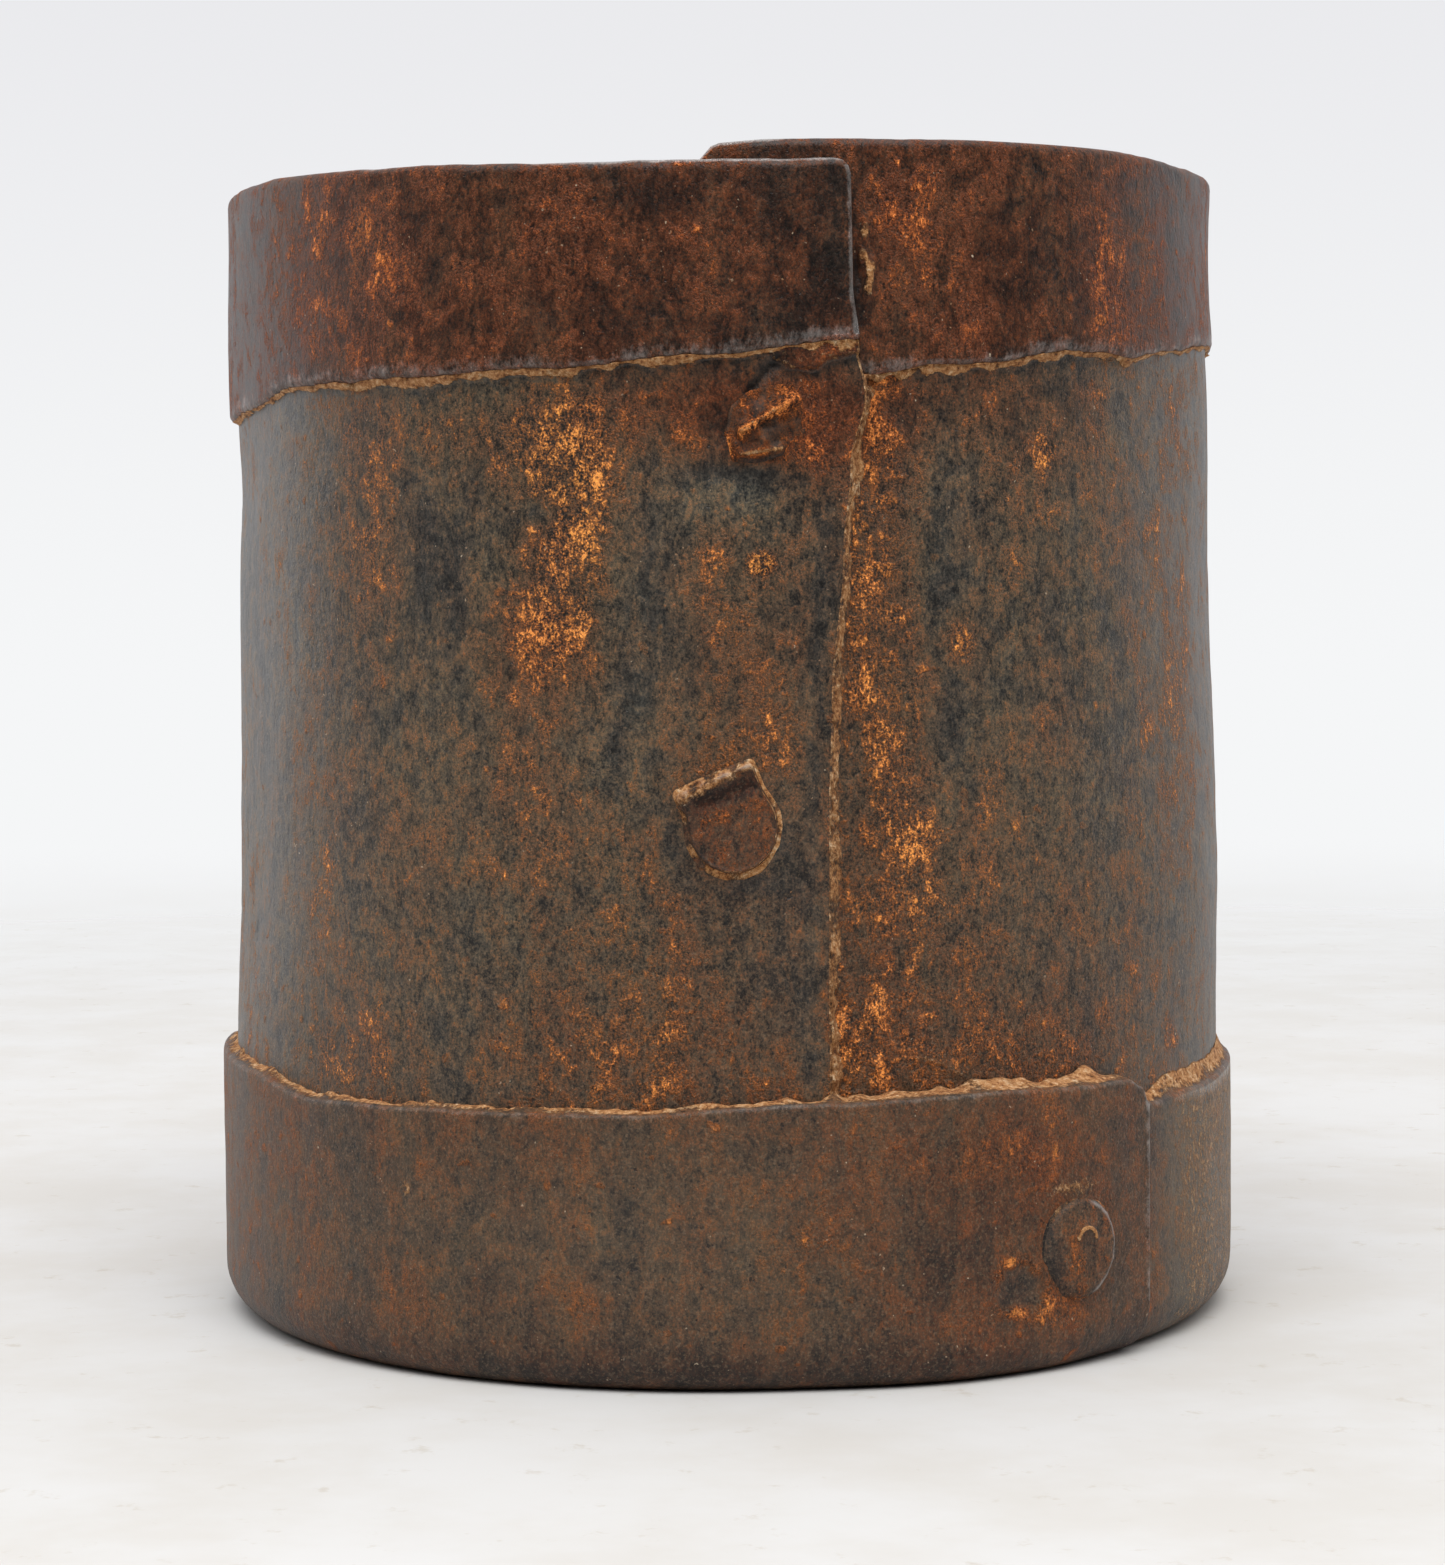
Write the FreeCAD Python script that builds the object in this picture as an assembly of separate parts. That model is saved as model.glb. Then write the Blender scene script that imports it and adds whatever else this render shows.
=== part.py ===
"""Hand-made sheet-iron cup, built as a smith builds it.

The wall is one sheet rolled into a slightly tapered tube with lapped, riveted ends. Its top edge is folded
outwards and down into a wide hem. A round floor plate closes the foot. It is clamped between the wall's lower
edge and the foot band, a riveted hoop whose lower edge is turned in under the floor.

Frame: +Z up, origin at the centre of the underside, the wall's seam at the front (-Y).
Sizes are in millimetres. Angles are in degrees round +Z, counted from the front (-Y) towards +X. Each strip
starts at its under-lapping end and runs once round to its over-lapping end, so its end angle is over 360.
"""

import FreeCAD
import Part

import math
import os
from FreeCAD import Vector

# Driving dimensions.
FOOT_RADIUS = 42.6          # outside of the foot band
BAND_T = 0.95               # gauge of the foot band
WALL_T = 0.60               # gauge of the wall sheet, also the step at the hem's lower edge
FLOOR_T = 1.00              # gauge of the floor plate
SEAT_GAP = 0.05             # play between the wall and the foot band
LAP_GAP = 0.08              # play between lapped layers
SEAT_CLEARANCE = 0.02       # play under a rivet head
TAPER = 0.0105              # radius lost per millimetre of height by the wall

# Wall sheet.
WALL_UNDER_END = -5.5       # angle of the end that passes under the lap
WALL_OVER_END = 372.2       # angle of the end that passes over it
RIM_Z = ((-5.5, 92.4), (42, 93.1), (180, 92.4), (344, 91.0), (372.2, 91.3))
CORNER_SNIP = 3.6           # cut at 45 degrees off the upper corner of the under-lapping end
HEM_SLIT = 0.08             # space left inside the folded hem
HEM_EDGE_Z = ((-5.5, 74.9), (13, 75.2), (40, 77.5), (78, 79.0), (180, 76.2), (276, 73.9), (315, 75.7),
              (344, 76.0), (372.2, 77.7))
DIP_FLAT_END = 13.6         # the under-lapping end stays tucked in up to this angle
DIP_END = 48.0              # and is back on the wall's own radius at this one
DIP_LOW_Z = 73.4            # below this height the tuck clears one layer of sheet
DIP_HIGH_Z = 74.8           # above this height it clears the folded hem

# Foot band.
BAND_UNDER_END = 27.5
BAND_OVER_END = 408.6
BAND_EDGE_Z = ((27.5, 19.0), (52, 19.4), (85, 20.6), (180, 20.0), (278, 22.2), (310, 20.6), (350, 21.1),
               (380, 22.1), (408.6, 21.8))
BAND_RISE = (365.0, 386.0)  # the band climbs over its own under-lapping end between these angles
BEND_INNER_R = 0.80         # inside radius of the turned-in lower edge
LIP_INNER_R = 35.0          # how far the turned-in lip reaches under the floor
LIP_DRESSING = 0.25         # extra lip thickness that is dressed off flat, to leave one true rest plane
END_SLOT = 1.5              # angle left open between the lip's two ends

# Rivets: angle, height.
SHANK_R = 1.6
RIVET_UPPER = (2.4, 72.2)
RIVET_MIDDLE = (0.8, 42.4)
RIVET_LOWER = (1.6, 12.6)
RIVET_BAND_FRONT = (38.0, 9.3)
RIVET_BAND_REAR = (221.0, 9.6)
OUTER_HEAD_T = 0.75         # how far a hammered outer head stands off the metal
INNER_HEAD_T = 0.90         # how far an inner head stands into the cup
INNER_HEAD_R = 3.3
INNER_DOME_R = 2.2          # flat crown left on an inner head
BAND_HEAD_R = 3.75
FLUSH_HEAD_R = 2.5          # hidden rivet, hammered flush in a countersink

# Outlines of the two flattened seam heads: (along the wall, up), from the rivet's centre.
UPPER_HEAD = ((-3.4, 1.4), (-2.6, -1.6), (-0.4, -2.6), (3.1, -2.2), (3.4, 0.4), (2.2, 2.9), (-1.4, 3.0))
MIDDLE_HEAD_FLAT = ((-3.8, 2.0), (1.5, 4.6))
MIDDLE_HEAD_ROUND = ((3.7, 1.2), (0.5, -4.1))

# Derived dimensions.
BAND_INNER_R = FOOT_RADIUS - BAND_T
WALL_FOOT_R = BAND_INNER_R - SEAT_GAP
HEM_T = 2 * WALL_T + HEM_SLIT
FLOOR_Z = BAND_T
WALL_Z = FLOOR_Z + FLOOR_T
FLOOR_R = WALL_FOOT_R - SEAT_GAP
DIP_LOW = WALL_T + LAP_GAP
DIP_HIGH = HEM_T + LAP_GAP
TAB_START = BAND_OVER_END - 360 + END_SLOT  # the band's other end has no lip up to this angle

# Construction.
STATION_STEP = 7.0          # angle between the stations that a strip is built from
ARC_STEPS = 5               # straight steps that stand for each small bend
PLUG_HEIGHT = 100.0         # taller than the cup
REACH_INNER_R = WALL_FOOT_R - 8     # rivet blanks and drills run from this radius
REACH_OUTER_R = FOOT_RADIUS + 4     # to this one, clear of all the sheet metal on both sides
ROOT_DEPTH = 1.0            # how far an inner head's blank runs into the metal before it is cut to fit
SINK_OVERSHOOT = 0.2        # extra length of the countersink, past the wall's surface


def smooth(t):
    """0 to 1 with a level start and end."""
    t = min(1.0, max(0.0, t))
    return t * t * (3 - 2 * t)


def between(table, angle):
    """Smooth value at an angle from a short table of (angle, value)."""
    for (a0, v0), (a1, v1) in zip(table, table[1:]):
        if angle <= a1:
            return v0 + (v1 - v0) * smooth((angle - a0) / (a1 - a0))
    return table[-1][1]


def at(angle, radius, z):
    """Point in the part's frame."""
    a = math.radians(angle)
    return Vector(radius * math.sin(a), -radius * math.cos(a), z)


def stations(start, end):
    """Evenly spaced angles from one end of a strip to the other."""
    count = math.ceil((end - start) / STATION_STEP)
    return [start + (end - start) * i / count for i in range(count + 1)]


def strip(start, end, section):
    """Solid swept round +Z. section(angle) gives the same number of (radius, z) corners at every angle."""
    angles = stations(start, end)
    rings = [[at(a, r, z) for r, z in section(a)] for a in angles]
    rails = []
    for corner in zip(*rings):
        curve = Part.BSplineCurve()
        curve.interpolate(Points=list(corner), Parameters=angles)
        rails.append(curve.toShape())
    faces = [Part.makeRuledSurface(a, b) for a, b in zip(rails, rails[1:] + rails[:1])]
    for ring in (rings[0], rings[-1]):
        faces.append(Part.Face(Part.makePolygon(ring + ring[:1])))
    solid = Part.makeSolid(Part.makeShell(faces))
    if solid.Volume < 0:
        solid.reverse()
    return solid


def arc(centre, radius, first, last):
    """Points on an arc in the (radius, z) plane, both ends included. Angles from +r towards +z."""
    points = []
    for i in range(ARC_STEPS + 1):
        a = math.radians(first + (last - first) * i / ARC_STEPS)
        points.append((centre[0] + radius * math.cos(a), centre[1] + radius * math.sin(a)))
    return points


def wall_outer_r(z):
    """Outside radius of the wall away from its tucked end."""
    return WALL_FOOT_R - TAPER * z


def tuck(angle, z):
    """How far the under-lapping end of the wall is pressed inwards."""
    reach = 1 - smooth((angle - DIP_FLAT_END) / (DIP_END - DIP_FLAT_END))
    depth = DIP_LOW + (DIP_HIGH - DIP_LOW) * smooth((z - DIP_LOW_Z) / (DIP_HIGH_Z - DIP_LOW_Z))
    return reach * depth


def wall_section(angle):
    """Corners of the wall with its outward hem, starting inside the foot and going up."""
    def outer(z):
        return wall_outer_r(z) - tuck(angle, z)

    fold_r = HEM_T / 2
    slit_r = HEM_SLIT / 2
    fold_z = between(RIM_Z, angle) - fold_r
    edge_z = between(HEM_EDGE_Z, angle)
    fold_centre = (outer(fold_z) + slit_r, fold_z)
    levels = (WALL_Z, DIP_LOW_Z, (DIP_LOW_Z + DIP_HIGH_Z) / 2, DIP_HIGH_Z)
    inside = [(outer(z) - WALL_T, z) for z in levels]
    outside = [(outer(z), z) for z in reversed(levels)]
    hem_edge = [(outer(edge_z) + HEM_SLIT + WALL_T, edge_z), (outer(edge_z) + HEM_SLIT, edge_z)]
    fold = arc(fold_centre, fold_r, 180, 0)
    slit_end = [(fold_centre[0] + slit_r, fold_z), (fold_centre[0] - slit_r, fold_z)]
    return inside + fold + hem_edge + slit_end + outside


def band_outer_r(angle):
    """Outside radius of the foot band: its over-lapping end rides on its other end."""
    climb = smooth((angle - BAND_RISE[0]) / (BAND_RISE[1] - BAND_RISE[0]))
    return FOOT_RADIUS + climb * (BAND_T + LAP_GAP)


def band_section(angle):
    """Corners of the foot band with its turned-in lip."""
    outer = band_outer_r(angle)
    inner = outer - BAND_T
    top = between(BAND_EDGE_Z, angle)
    bend = (inner - BEND_INNER_R, BAND_T + BEND_INNER_R)
    heel = arc(bend, BEND_INNER_R + BAND_T, 0, -90)
    throat = arc(bend, BEND_INNER_R, -90, 0)
    lip = [(LIP_INNER_R, -LIP_DRESSING), (LIP_INNER_R, BAND_T)]
    heel[-1] = (heel[-1][0], -LIP_DRESSING)
    return [(inner, top), (outer, top)] + heel + lip + throat


def band_tab_section(angle):
    """Corners of the band's under-lapping end, which has its lip nipped off."""
    foot = BAND_T + BEND_INNER_R + LAP_GAP
    top = between(BAND_EDGE_Z, angle)
    return [(BAND_INNER_R, foot), (FOOT_RADIUS, foot), (FOOT_RADIUS, top), (BAND_INNER_R, top)]


def radial(place, shape):
    """Moves a shape built along local +Z so that it points outwards at (angle, height), +Y up the wall."""
    angle, z = place
    turn = FreeCAD.Rotation(Vector(0, 0, 1), angle) * FreeCAD.Rotation(Vector(1, 0, 0), 90)
    place = FreeCAD.Placement(Vector(0, 0, z), turn)
    return shape.transformed(place.toMatrix(), True)


def blank(outline, low, high):
    """Head blank between two distances along the rivet's own axis."""
    face = Part.Face(outline)
    face.translate(Vector(0, 0, low))
    return face.extrude(Vector(0, 0, high - low))


def circle(radius):
    return Part.Wire(Part.makeCircle(radius))


def polygon(points):
    """Closed outline through points given as (along the wall, up)."""
    corners = [Vector(u, v, 0) for u, v in points]
    return Part.makePolygon(corners + corners[:1])


def middle_outline():
    """Flattened head with one straight cut side and a pointed corner."""
    left, corner = (Vector(u, v, 0) for u, v in MIDDLE_HEAD_FLAT)
    right, low = (Vector(u, v, 0) for u, v in MIDDLE_HEAD_ROUND)
    return Part.Wire([Part.makeLine(left, corner), Part.makeLine(corner, right),
                      Part.Arc(right, low, left).toShape()])


def wall_plug(extra):
    """Solid plug whose side follows the wall's own cone, standing off it by a distance."""
    return Part.makeCone(WALL_FOOT_R + extra, wall_outer_r(PLUG_HEIGHT) + extra, PLUG_HEIGHT)


def hoop_plug(radius):
    """Solid plug with a straight side."""
    return Part.makeCylinder(radius, PLUG_HEIGHT)


def outer_head(place, outline, seat, crown):
    """Hammered head that follows the curve of the metal under it, cut between two plugs."""
    raw = radial(place, blank(outline, REACH_INNER_R, REACH_OUTER_R))
    return raw.common(crown).cut(seat)


def inner_head(place, seat, metal_r):
    """Low button head inside the cup, with its base cut to the curve of the metal."""
    crown = Part.makeCone(INNER_DOME_R, INNER_HEAD_R, INNER_HEAD_T, Vector(0, 0, metal_r - INNER_HEAD_T))
    root = Part.makeCylinder(INNER_HEAD_R, ROOT_DEPTH, Vector(0, 0, metal_r))
    return radial(place, crown.fuse(root)).common(seat)


def shank(place, low, high):
    return radial(place, blank(circle(SHANK_R), low, high))


def biggest(shape):
    return max(shape.Solids, key=lambda s: s.Volume)


def rivet(place, head, button, inside_r, outside_r, wall):
    """One rivet: a head outside, a shank and a button head inside. Both heads are cut clear of the wall."""
    stem = shank(place, inside_r - INNER_HEAD_T / 2, outside_r + OUTER_HEAD_T / 2)
    return biggest(biggest(head.cut(wall)).fuse([stem, biggest(button.cut(wall))]))


def pierced(sheet, places):
    """Sheet with a rivet hole at each place."""
    for place in places:
        sheet = sheet.cut(shank(place, REACH_INNER_R, REACH_OUTER_R))
    return sheet


def countersink(overshoot):
    """Cone of the flush rivet's head, longer than the wall is thick by the overshoot."""
    bottom = Vector(0, 0, wall_outer_r(RIVET_LOWER[1]) - WALL_T)
    return radial(RIVET_LOWER, Part.makeCone(SHANK_R, FLUSH_HEAD_R, WALL_T + overshoot, bottom))


def corner_snip():
    """Blank for the snipped corner. It stays clear of the over-lapping end, which lies outside it."""
    low = RIM_Z[0][1] - CORNER_SNIP
    outline = polygon(((-1, low - 1), (PLUG_HEIGHT - low, PLUG_HEIGHT), (-1, PLUG_HEIGHT)))
    tool = radial((WALL_UNDER_END, 0), blank(outline, REACH_INNER_R, REACH_OUTER_R))
    return tool.common(wall_plug(-WALL_T - LAP_GAP / 2))


def make_wall():
    wall = strip(WALL_UNDER_END, WALL_OVER_END, wall_section)
    wall = pierced(wall, (RIVET_UPPER, RIVET_MIDDLE, RIVET_LOWER, RIVET_BAND_FRONT, RIVET_BAND_REAR))
    return wall.cut(countersink(SINK_OVERSHOOT)).cut(corner_snip())


def make_band():
    hoop = strip(TAB_START, BAND_OVER_END, band_section)
    tab = strip(BAND_UNDER_END, TAB_START, band_tab_section)
    dressing = Part.makeCylinder(REACH_OUTER_R, 2 * LIP_DRESSING, Vector(0, 0, -2 * LIP_DRESSING))
    band = hoop.fuse(tab).cut(dressing)
    return pierced(band, (RIVET_BAND_FRONT, RIVET_BAND_REAR))


def make_floor():
    plate = Part.makeCylinder(FLOOR_R, FLOOR_T, Vector(0, 0, FLOOR_Z))
    lower_edge = min((e for e in plate.Edges if e.Closed), key=lambda e: e.BoundBox.ZMax)
    return plate.makeFillet(BEND_INNER_R + SEAT_GAP, [lower_edge])


def wall_inner_r(place):
    """Inside radius of the cup at a rivet, on whichever end of the sheet lies innermost there."""
    return wall_outer_r(place[1]) - WALL_T - tuck(*place)


def seam_rivet(place, outline, wall):
    """Rivet of the wall's own lap, with a flattened head outside."""
    outside, inside = wall_outer_r(place[1]), wall_inner_r(place)
    head = outer_head(place, outline, wall_plug(SEAT_CLEARANCE), wall_plug(OUTER_HEAD_T))
    button = inner_head(place, wall_plug(inside - outside - SEAT_CLEARANCE), inside)
    return rivet(place, head, button, inside, outside, wall)


def flush_rivet(place, wall):
    """Seam rivet under the foot band: its outer head is a cone in the wall's countersink."""
    outside, inside = wall_outer_r(place[1]), wall_inner_r(place)
    head = countersink(0).common(wall_plug(-SEAT_CLEARANCE))
    button = inner_head(place, wall_plug(inside - outside - SEAT_CLEARANCE), inside)
    stem = shank(place, inside - INNER_HEAD_T / 2, outside - WALL_T / 2)
    return biggest(head.fuse([stem, biggest(button.cut(wall))]))


def band_rivet(place, outside, wall):
    """Rivet through the foot band and the wall, with a round hammered head outside."""
    inside = wall_inner_r(place)
    seat, crown = hoop_plug(outside + SEAT_CLEARANCE), hoop_plug(outside + OUTER_HEAD_T)
    head = outer_head(place, circle(BAND_HEAD_R), seat, crown)
    button = inner_head(place, wall_plug(inside - wall_outer_r(place[1]) - SEAT_CLEARANCE), inside)
    return rivet(place, head, button, inside, outside, wall)


def make_parts():
    """Every separate piece of the cup, by name."""
    wall = make_wall()
    front_r = band_outer_r(RIVET_BAND_FRONT[0] + 360)
    rear_r = band_outer_r(RIVET_BAND_REAR[0])
    return {
        "wall_sheet": wall,
        "foot_band": make_band(),
        "floor_plate": make_floor(),
        "seam_rivet_upper": seam_rivet(RIVET_UPPER, polygon(UPPER_HEAD), wall),
        "seam_rivet_middle": seam_rivet(RIVET_MIDDLE, middle_outline(), wall),
        "seam_rivet_lower": flush_rivet(RIVET_LOWER, wall),
        "band_rivet_front": band_rivet(RIVET_BAND_FRONT, front_r, wall),
        "band_rivet_rear": band_rivet(RIVET_BAND_REAR, rear_r, wall),
    }


os.makedirs("parts", exist_ok=True)
for node, shape in make_parts().items():
    if not shape.isValid() or len(shape.Solids) != 1:
        raise ValueError(node + " isn't one valid solid")
    shape.exportStep("parts/" + node + ".step")
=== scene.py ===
# Looks of the riveted sheet-iron cup: rusted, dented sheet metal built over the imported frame.
# The script models in millimetres and writes metres. Angles are in degrees round +Z, counted from the front
# (-Y) towards +X. Every sheet is one closed outline in (radius, height), worked out at many angles.

import math

import bpy
import numpy as np
from mathutils import Euler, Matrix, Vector


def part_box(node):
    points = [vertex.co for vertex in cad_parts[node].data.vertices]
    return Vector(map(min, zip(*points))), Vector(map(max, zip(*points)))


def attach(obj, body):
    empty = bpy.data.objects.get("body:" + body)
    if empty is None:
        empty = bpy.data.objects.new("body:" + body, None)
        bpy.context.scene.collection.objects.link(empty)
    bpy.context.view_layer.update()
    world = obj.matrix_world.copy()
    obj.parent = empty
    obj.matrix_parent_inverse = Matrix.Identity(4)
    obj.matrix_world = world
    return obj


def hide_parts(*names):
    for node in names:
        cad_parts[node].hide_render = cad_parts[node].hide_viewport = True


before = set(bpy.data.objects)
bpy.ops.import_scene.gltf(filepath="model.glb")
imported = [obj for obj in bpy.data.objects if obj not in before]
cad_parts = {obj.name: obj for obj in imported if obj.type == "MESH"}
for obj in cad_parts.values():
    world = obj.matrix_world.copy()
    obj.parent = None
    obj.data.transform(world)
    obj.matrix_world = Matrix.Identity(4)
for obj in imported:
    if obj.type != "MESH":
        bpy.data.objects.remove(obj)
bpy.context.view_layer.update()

MM = 0.001


# ---------------------------------------------------------------- sizes from the frame, in millimetres

def box_mm(node):
    low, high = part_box(node)
    return np.array(low) / MM, np.array(high) / MM


def place_of(node):
    """Angle and height of a rivet's centre."""
    low, high = box_mm(node)
    x, y, z = (low + high) / 2
    return math.degrees(math.atan2(x, -y)), z


BAND_HIGH = box_mm("foot_band")[1]
FLOOR_LOW, FLOOR_HIGH = box_mm("floor_plate")
WALL_LOW, WALL_HIGH = box_mm("wall_sheet")

RELIEF_ROOM = 0.06          # what the relief may stand proud of a sheet
FOOT_R = BAND_HIGH[1] - RELIEF_ROOM
BAND_T = FLOOR_LOW[2]
FLOOR_R = FLOOR_HIGH[0]
SEAT_GAP = 0.05
WALL_FOOT_R = FLOOR_R + SEAT_GAP
WALL_Z = WALL_LOW[2]
RIM_TOP = WALL_HIGH[2]

# Gauges and laps, as in the frame's own design.
WALL_T = 0.60
LAP_GAP = 0.08
HEM_T = 2 * WALL_T + LAP_GAP
TAPER = 0.0105
WALL_UNDER_END = -5.5
WALL_OVER_END = 372.2
BAND_UNDER_END = 27.5
BAND_OVER_END = 408.6
TAB_START = BAND_OVER_END - 358.5
BAND_RISE = (365.0, 386.0)
DIP_FLAT_END, DIP_END = 13.6, 48.0
DIP_Z = (63.0, 74.8)
LIP_INNER_R = 35.0
SEAM_R = 41.0               # radius at which distances round the wall are measured
BAND_R = 43.0               # and round the foot band
RIVET_R = 42.0              # and across the rivets' heads

# Heights along the edges: (angle, height).
RIM_Z = ((-5.5, 92.3), (8, 92.85), (42, 93.05), (64, 92.8), (180, 92.3), (300, 92.2), (308, 91.95),
         (325, 91.65), (344, 91.15), (365, 91.2), (372.2, 91.3))
HEM_EDGE_Z = ((-5.5, 75.0), (13, 75.1), (26, 76.3), (40, 77.6), (50, 77.3), (60, 78.2), (78, 79.0),
              (180, 76.2), (276, 73.9), (290, 74.6), (313, 75.8), (344, 75.9), (358, 76.9), (372.2, 77.7))
BAND_TOP_Z = ((27.5, 18.8), (52, 19.3), (60, 19.7), (85, 20.4), (180, 19.8), (278, 21.9), (296, 21.4),
              (310, 20.4), (348, 20.9), (370, 21.7), (388, 22.0), (402, 21.8), (405.6, 21.7), (407.6, 21.0),
              (408.6, 19.8))
# The lap's edge wanders: (height, angle).
LAP_EDGE = ((8, 10.8), (29, 10.6), (44, 10.8), (52, 11.2), (62, 12.5), (69, 13.4), (73.9, 15.0),
            (77.6, 14.0), (82, 13.3), (90.1, 13.2), (90.7, 12.95), (91.1, 12.5), (91.4, 11.5))


# ---------------------------------------------------------------- small mathematics

def smooth(t):
    t = np.clip(t, 0.0, 1.0)
    return t * t * (3 - 2 * t)


def between(table, x):
    """Smooth value from a short table of (place, value)."""
    x = np.asarray(x, float)
    value = np.full(x.shape, float(table[0][1]))
    for (x0, v0), (x1, v1) in zip(table, table[1:]):
        value = np.where(x > x0, v0 + (v1 - v0) * smooth((x - x0) / (x1 - x0)), value)
    return value


def bell(x):
    return np.exp(-x * x)


def lattice(ix, iy, iz, seed):
    """Repeatable random value in -1..1 for each whole-number place."""
    h = (ix * 374761393 + iy * 668265263 + iz * 1440662683 + seed * 974634777) & 0xFFFFFFFF
    h = ((h ^ (h >> 13)) * 1274126177) & 0xFFFFFFFF
    return (h ^ (h >> 16)) / 0x7FFFFFFF - 1.0


def noise(point, size, seed):
    """Smooth noise in -1..1 whose lumps are about size millimetres, at points (..., 3)."""
    q = np.asarray(point) / size
    whole = np.floor(q).astype(np.int64)
    s = q - whole
    s = s * s * (3 - 2 * s)
    total = 0.0
    for corner in range(8):
        dx, dy, dz = corner & 1, corner >> 1 & 1, corner >> 2
        weight = (s[..., 0] if dx else 1 - s[..., 0]) * (s[..., 1] if dy else 1 - s[..., 1])
        weight = weight * (s[..., 2] if dz else 1 - s[..., 2])
        total = total + weight * lattice(whole[..., 0] + dx, whole[..., 1] + dy, whole[..., 2] + dz, seed)
    return total


def fractal(point, size, seed, octaves=4):
    """Noise with finer lumps added to it, each layer half the size and 0.55 times the strength."""
    total, strength, norm = 0.0, 1.0, 0.0
    for octave in range(octaves):
        total = total + strength * noise(point, size / 2 ** octave, seed + 17 * octave)
        norm += strength
        strength *= 0.55
    return total / norm * 1.6


def round_point(angle, z, radius=40.0):
    """Point on a plain cylinder, where noise for a place on the cup is read."""
    a, z = np.broadcast_arrays(np.radians(angle), np.asarray(z, float))
    return np.stack([radius * np.sin(a), -radius * np.cos(a), z], axis=-1)


def lumps(angle, z, size, seed):
    """Smooth noise at a place on the cup."""
    return noise(round_point(angle, z), size, seed)


def turn_from(angle, centre):
    """Signed angle from a centre, in -180..180."""
    return (np.asarray(angle) - centre + 180.0) % 360.0 - 180.0


def spot(angle, z, centre, half_width, half_height):
    """Soft bump of height 1 round (angle, height), with half sizes in millimetres."""
    u = np.radians(turn_from(angle, centre[0])) * FLOOR_R / half_width
    v = (z - centre[1]) / half_height
    return np.exp(-(u * u + v * v))


def patches(table, angle, z):
    """Sum of spots, from a table of (centre, half width, half height, strength)."""
    return sum(strength * spot(angle, z, *place) for *place, strength in table)


def ridge(u, v, start, end, half_width):
    """Soft ridge of height 1 along the line between two places of a flat face."""
    du, dv = end[0] - start[0], end[1] - start[1]
    share = np.clip(((u - start[0]) * du + (v - start[1]) * dv) / (du * du + dv * dv), 0, 1)
    return np.exp(-((u - start[0] - share * du) ** 2 + (v - start[1] - share * dv) ** 2) / half_width ** 2)


def stroke(angle, z, start, end, half_width):
    """Soft ridge of height 1 along the line between two places (angle, height) of the cup."""
    scale = math.radians(1) * FLOOR_R
    end = (end[0] - start[0]) * scale, end[1] - start[1]
    return ridge(turn_from(angle, start[0]) * scale, z - start[1], (0, 0), end, half_width)


def along(*places):
    """Places along an outline, as one row."""
    return np.array(places, float)[None, :]


def beside(*parts):
    """Parts of outlines, or of their marks, joined end to end."""
    return np.concatenate(parts, axis=1)


# ---------------------------------------------------------------- the cup's form

# Dents and swellings of the wall: centre (angle, height), half width and half height in millimetres, depth.
WHOLE_HEIGHT = 400          # half height of a patch that is the same at every height
HOLLOWS = (
    ((74, 60), 9, 11, -0.55), ((-72, 44), 8, 26, -0.40), ((64, 38), 10, 14, 0.35),
    ((-28, 58), 12, 12, -0.25), ((-82, 50), 14, 60, -0.45), ((-80, 68), 8, 5, -0.45),
    ((80, 86), 13, 9, -0.60), ((150, 52), 13, 15, -0.50), ((232, 46), 11, 18, -0.45),
)


def dents(angle, z):
    """Slow in-and-out of the hand-rolled metal, the same for both faces of a sheet."""
    free = smooth((z - 20) / 16) * (1 - 0.6 * smooth((z - 78) / 10))
    flats = (0.30 * np.cos(np.radians(7 * turn_from(angle, 66)))
             + 0.16 * np.cos(np.radians(11 * turn_from(angle, 20) + 1.3 * z)))
    waves = 0.30 * lumps(angle, 0.35 * z, 16.0, 5)
    seam = 1 - 0.75 * spot(angle, z, (8, 50), 14, WHOLE_HEIGHT)
    return free * seam * (0.45 * flats + waves) + smooth((z - 20) / 16) * patches(HOLLOWS, angle, z)


def tuck(angle, z):
    """How far the under-lapping end of the wall is pressed inwards."""
    reach = 1 - smooth((angle - DIP_FLAT_END) / (DIP_END - DIP_FLAT_END))
    low, high = WALL_T + LAP_GAP, HEM_T + LAP_GAP
    return reach * (low + (high - low) * smooth((z - DIP_Z[0]) / (DIP_Z[1] - DIP_Z[0])))


def wall_outer(angle, z):
    return WALL_FOOT_R - TAPER * z - tuck(angle, z) + dents(angle, z)


def band_outer(angle):
    """Outside radius of the foot band: its over-lapping end rides on its other end."""
    climb = smooth((angle - BAND_RISE[0]) / (BAND_RISE[1] - BAND_RISE[0]))
    return FOOT_R + climb * (BAND_T + LAP_GAP)


def hem_edge(angle):
    """Lower edge of the hem, hand-cut and bitten by rust."""
    return between(HEM_EDGE_Z, angle) + 0.26 * lumps(angle, 0.0, 7.0, 31) + 0.12 * lumps(angle, 0.0, 1.7, 32)


def band_top(angle):
    rough = 0.16 * lumps(angle, 30.0, 8.0, 41) + 0.07 * lumps(angle, 30.0, 1.6, 42)
    return between(BAND_TOP_Z, angle) + rough


def lap_distance(angle, z):
    """Millimetres from the over-lapping end's edge, positive on the bare side."""
    return np.radians(turn_from(angle, between(LAP_EDGE, z))) * SEAM_R


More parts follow.
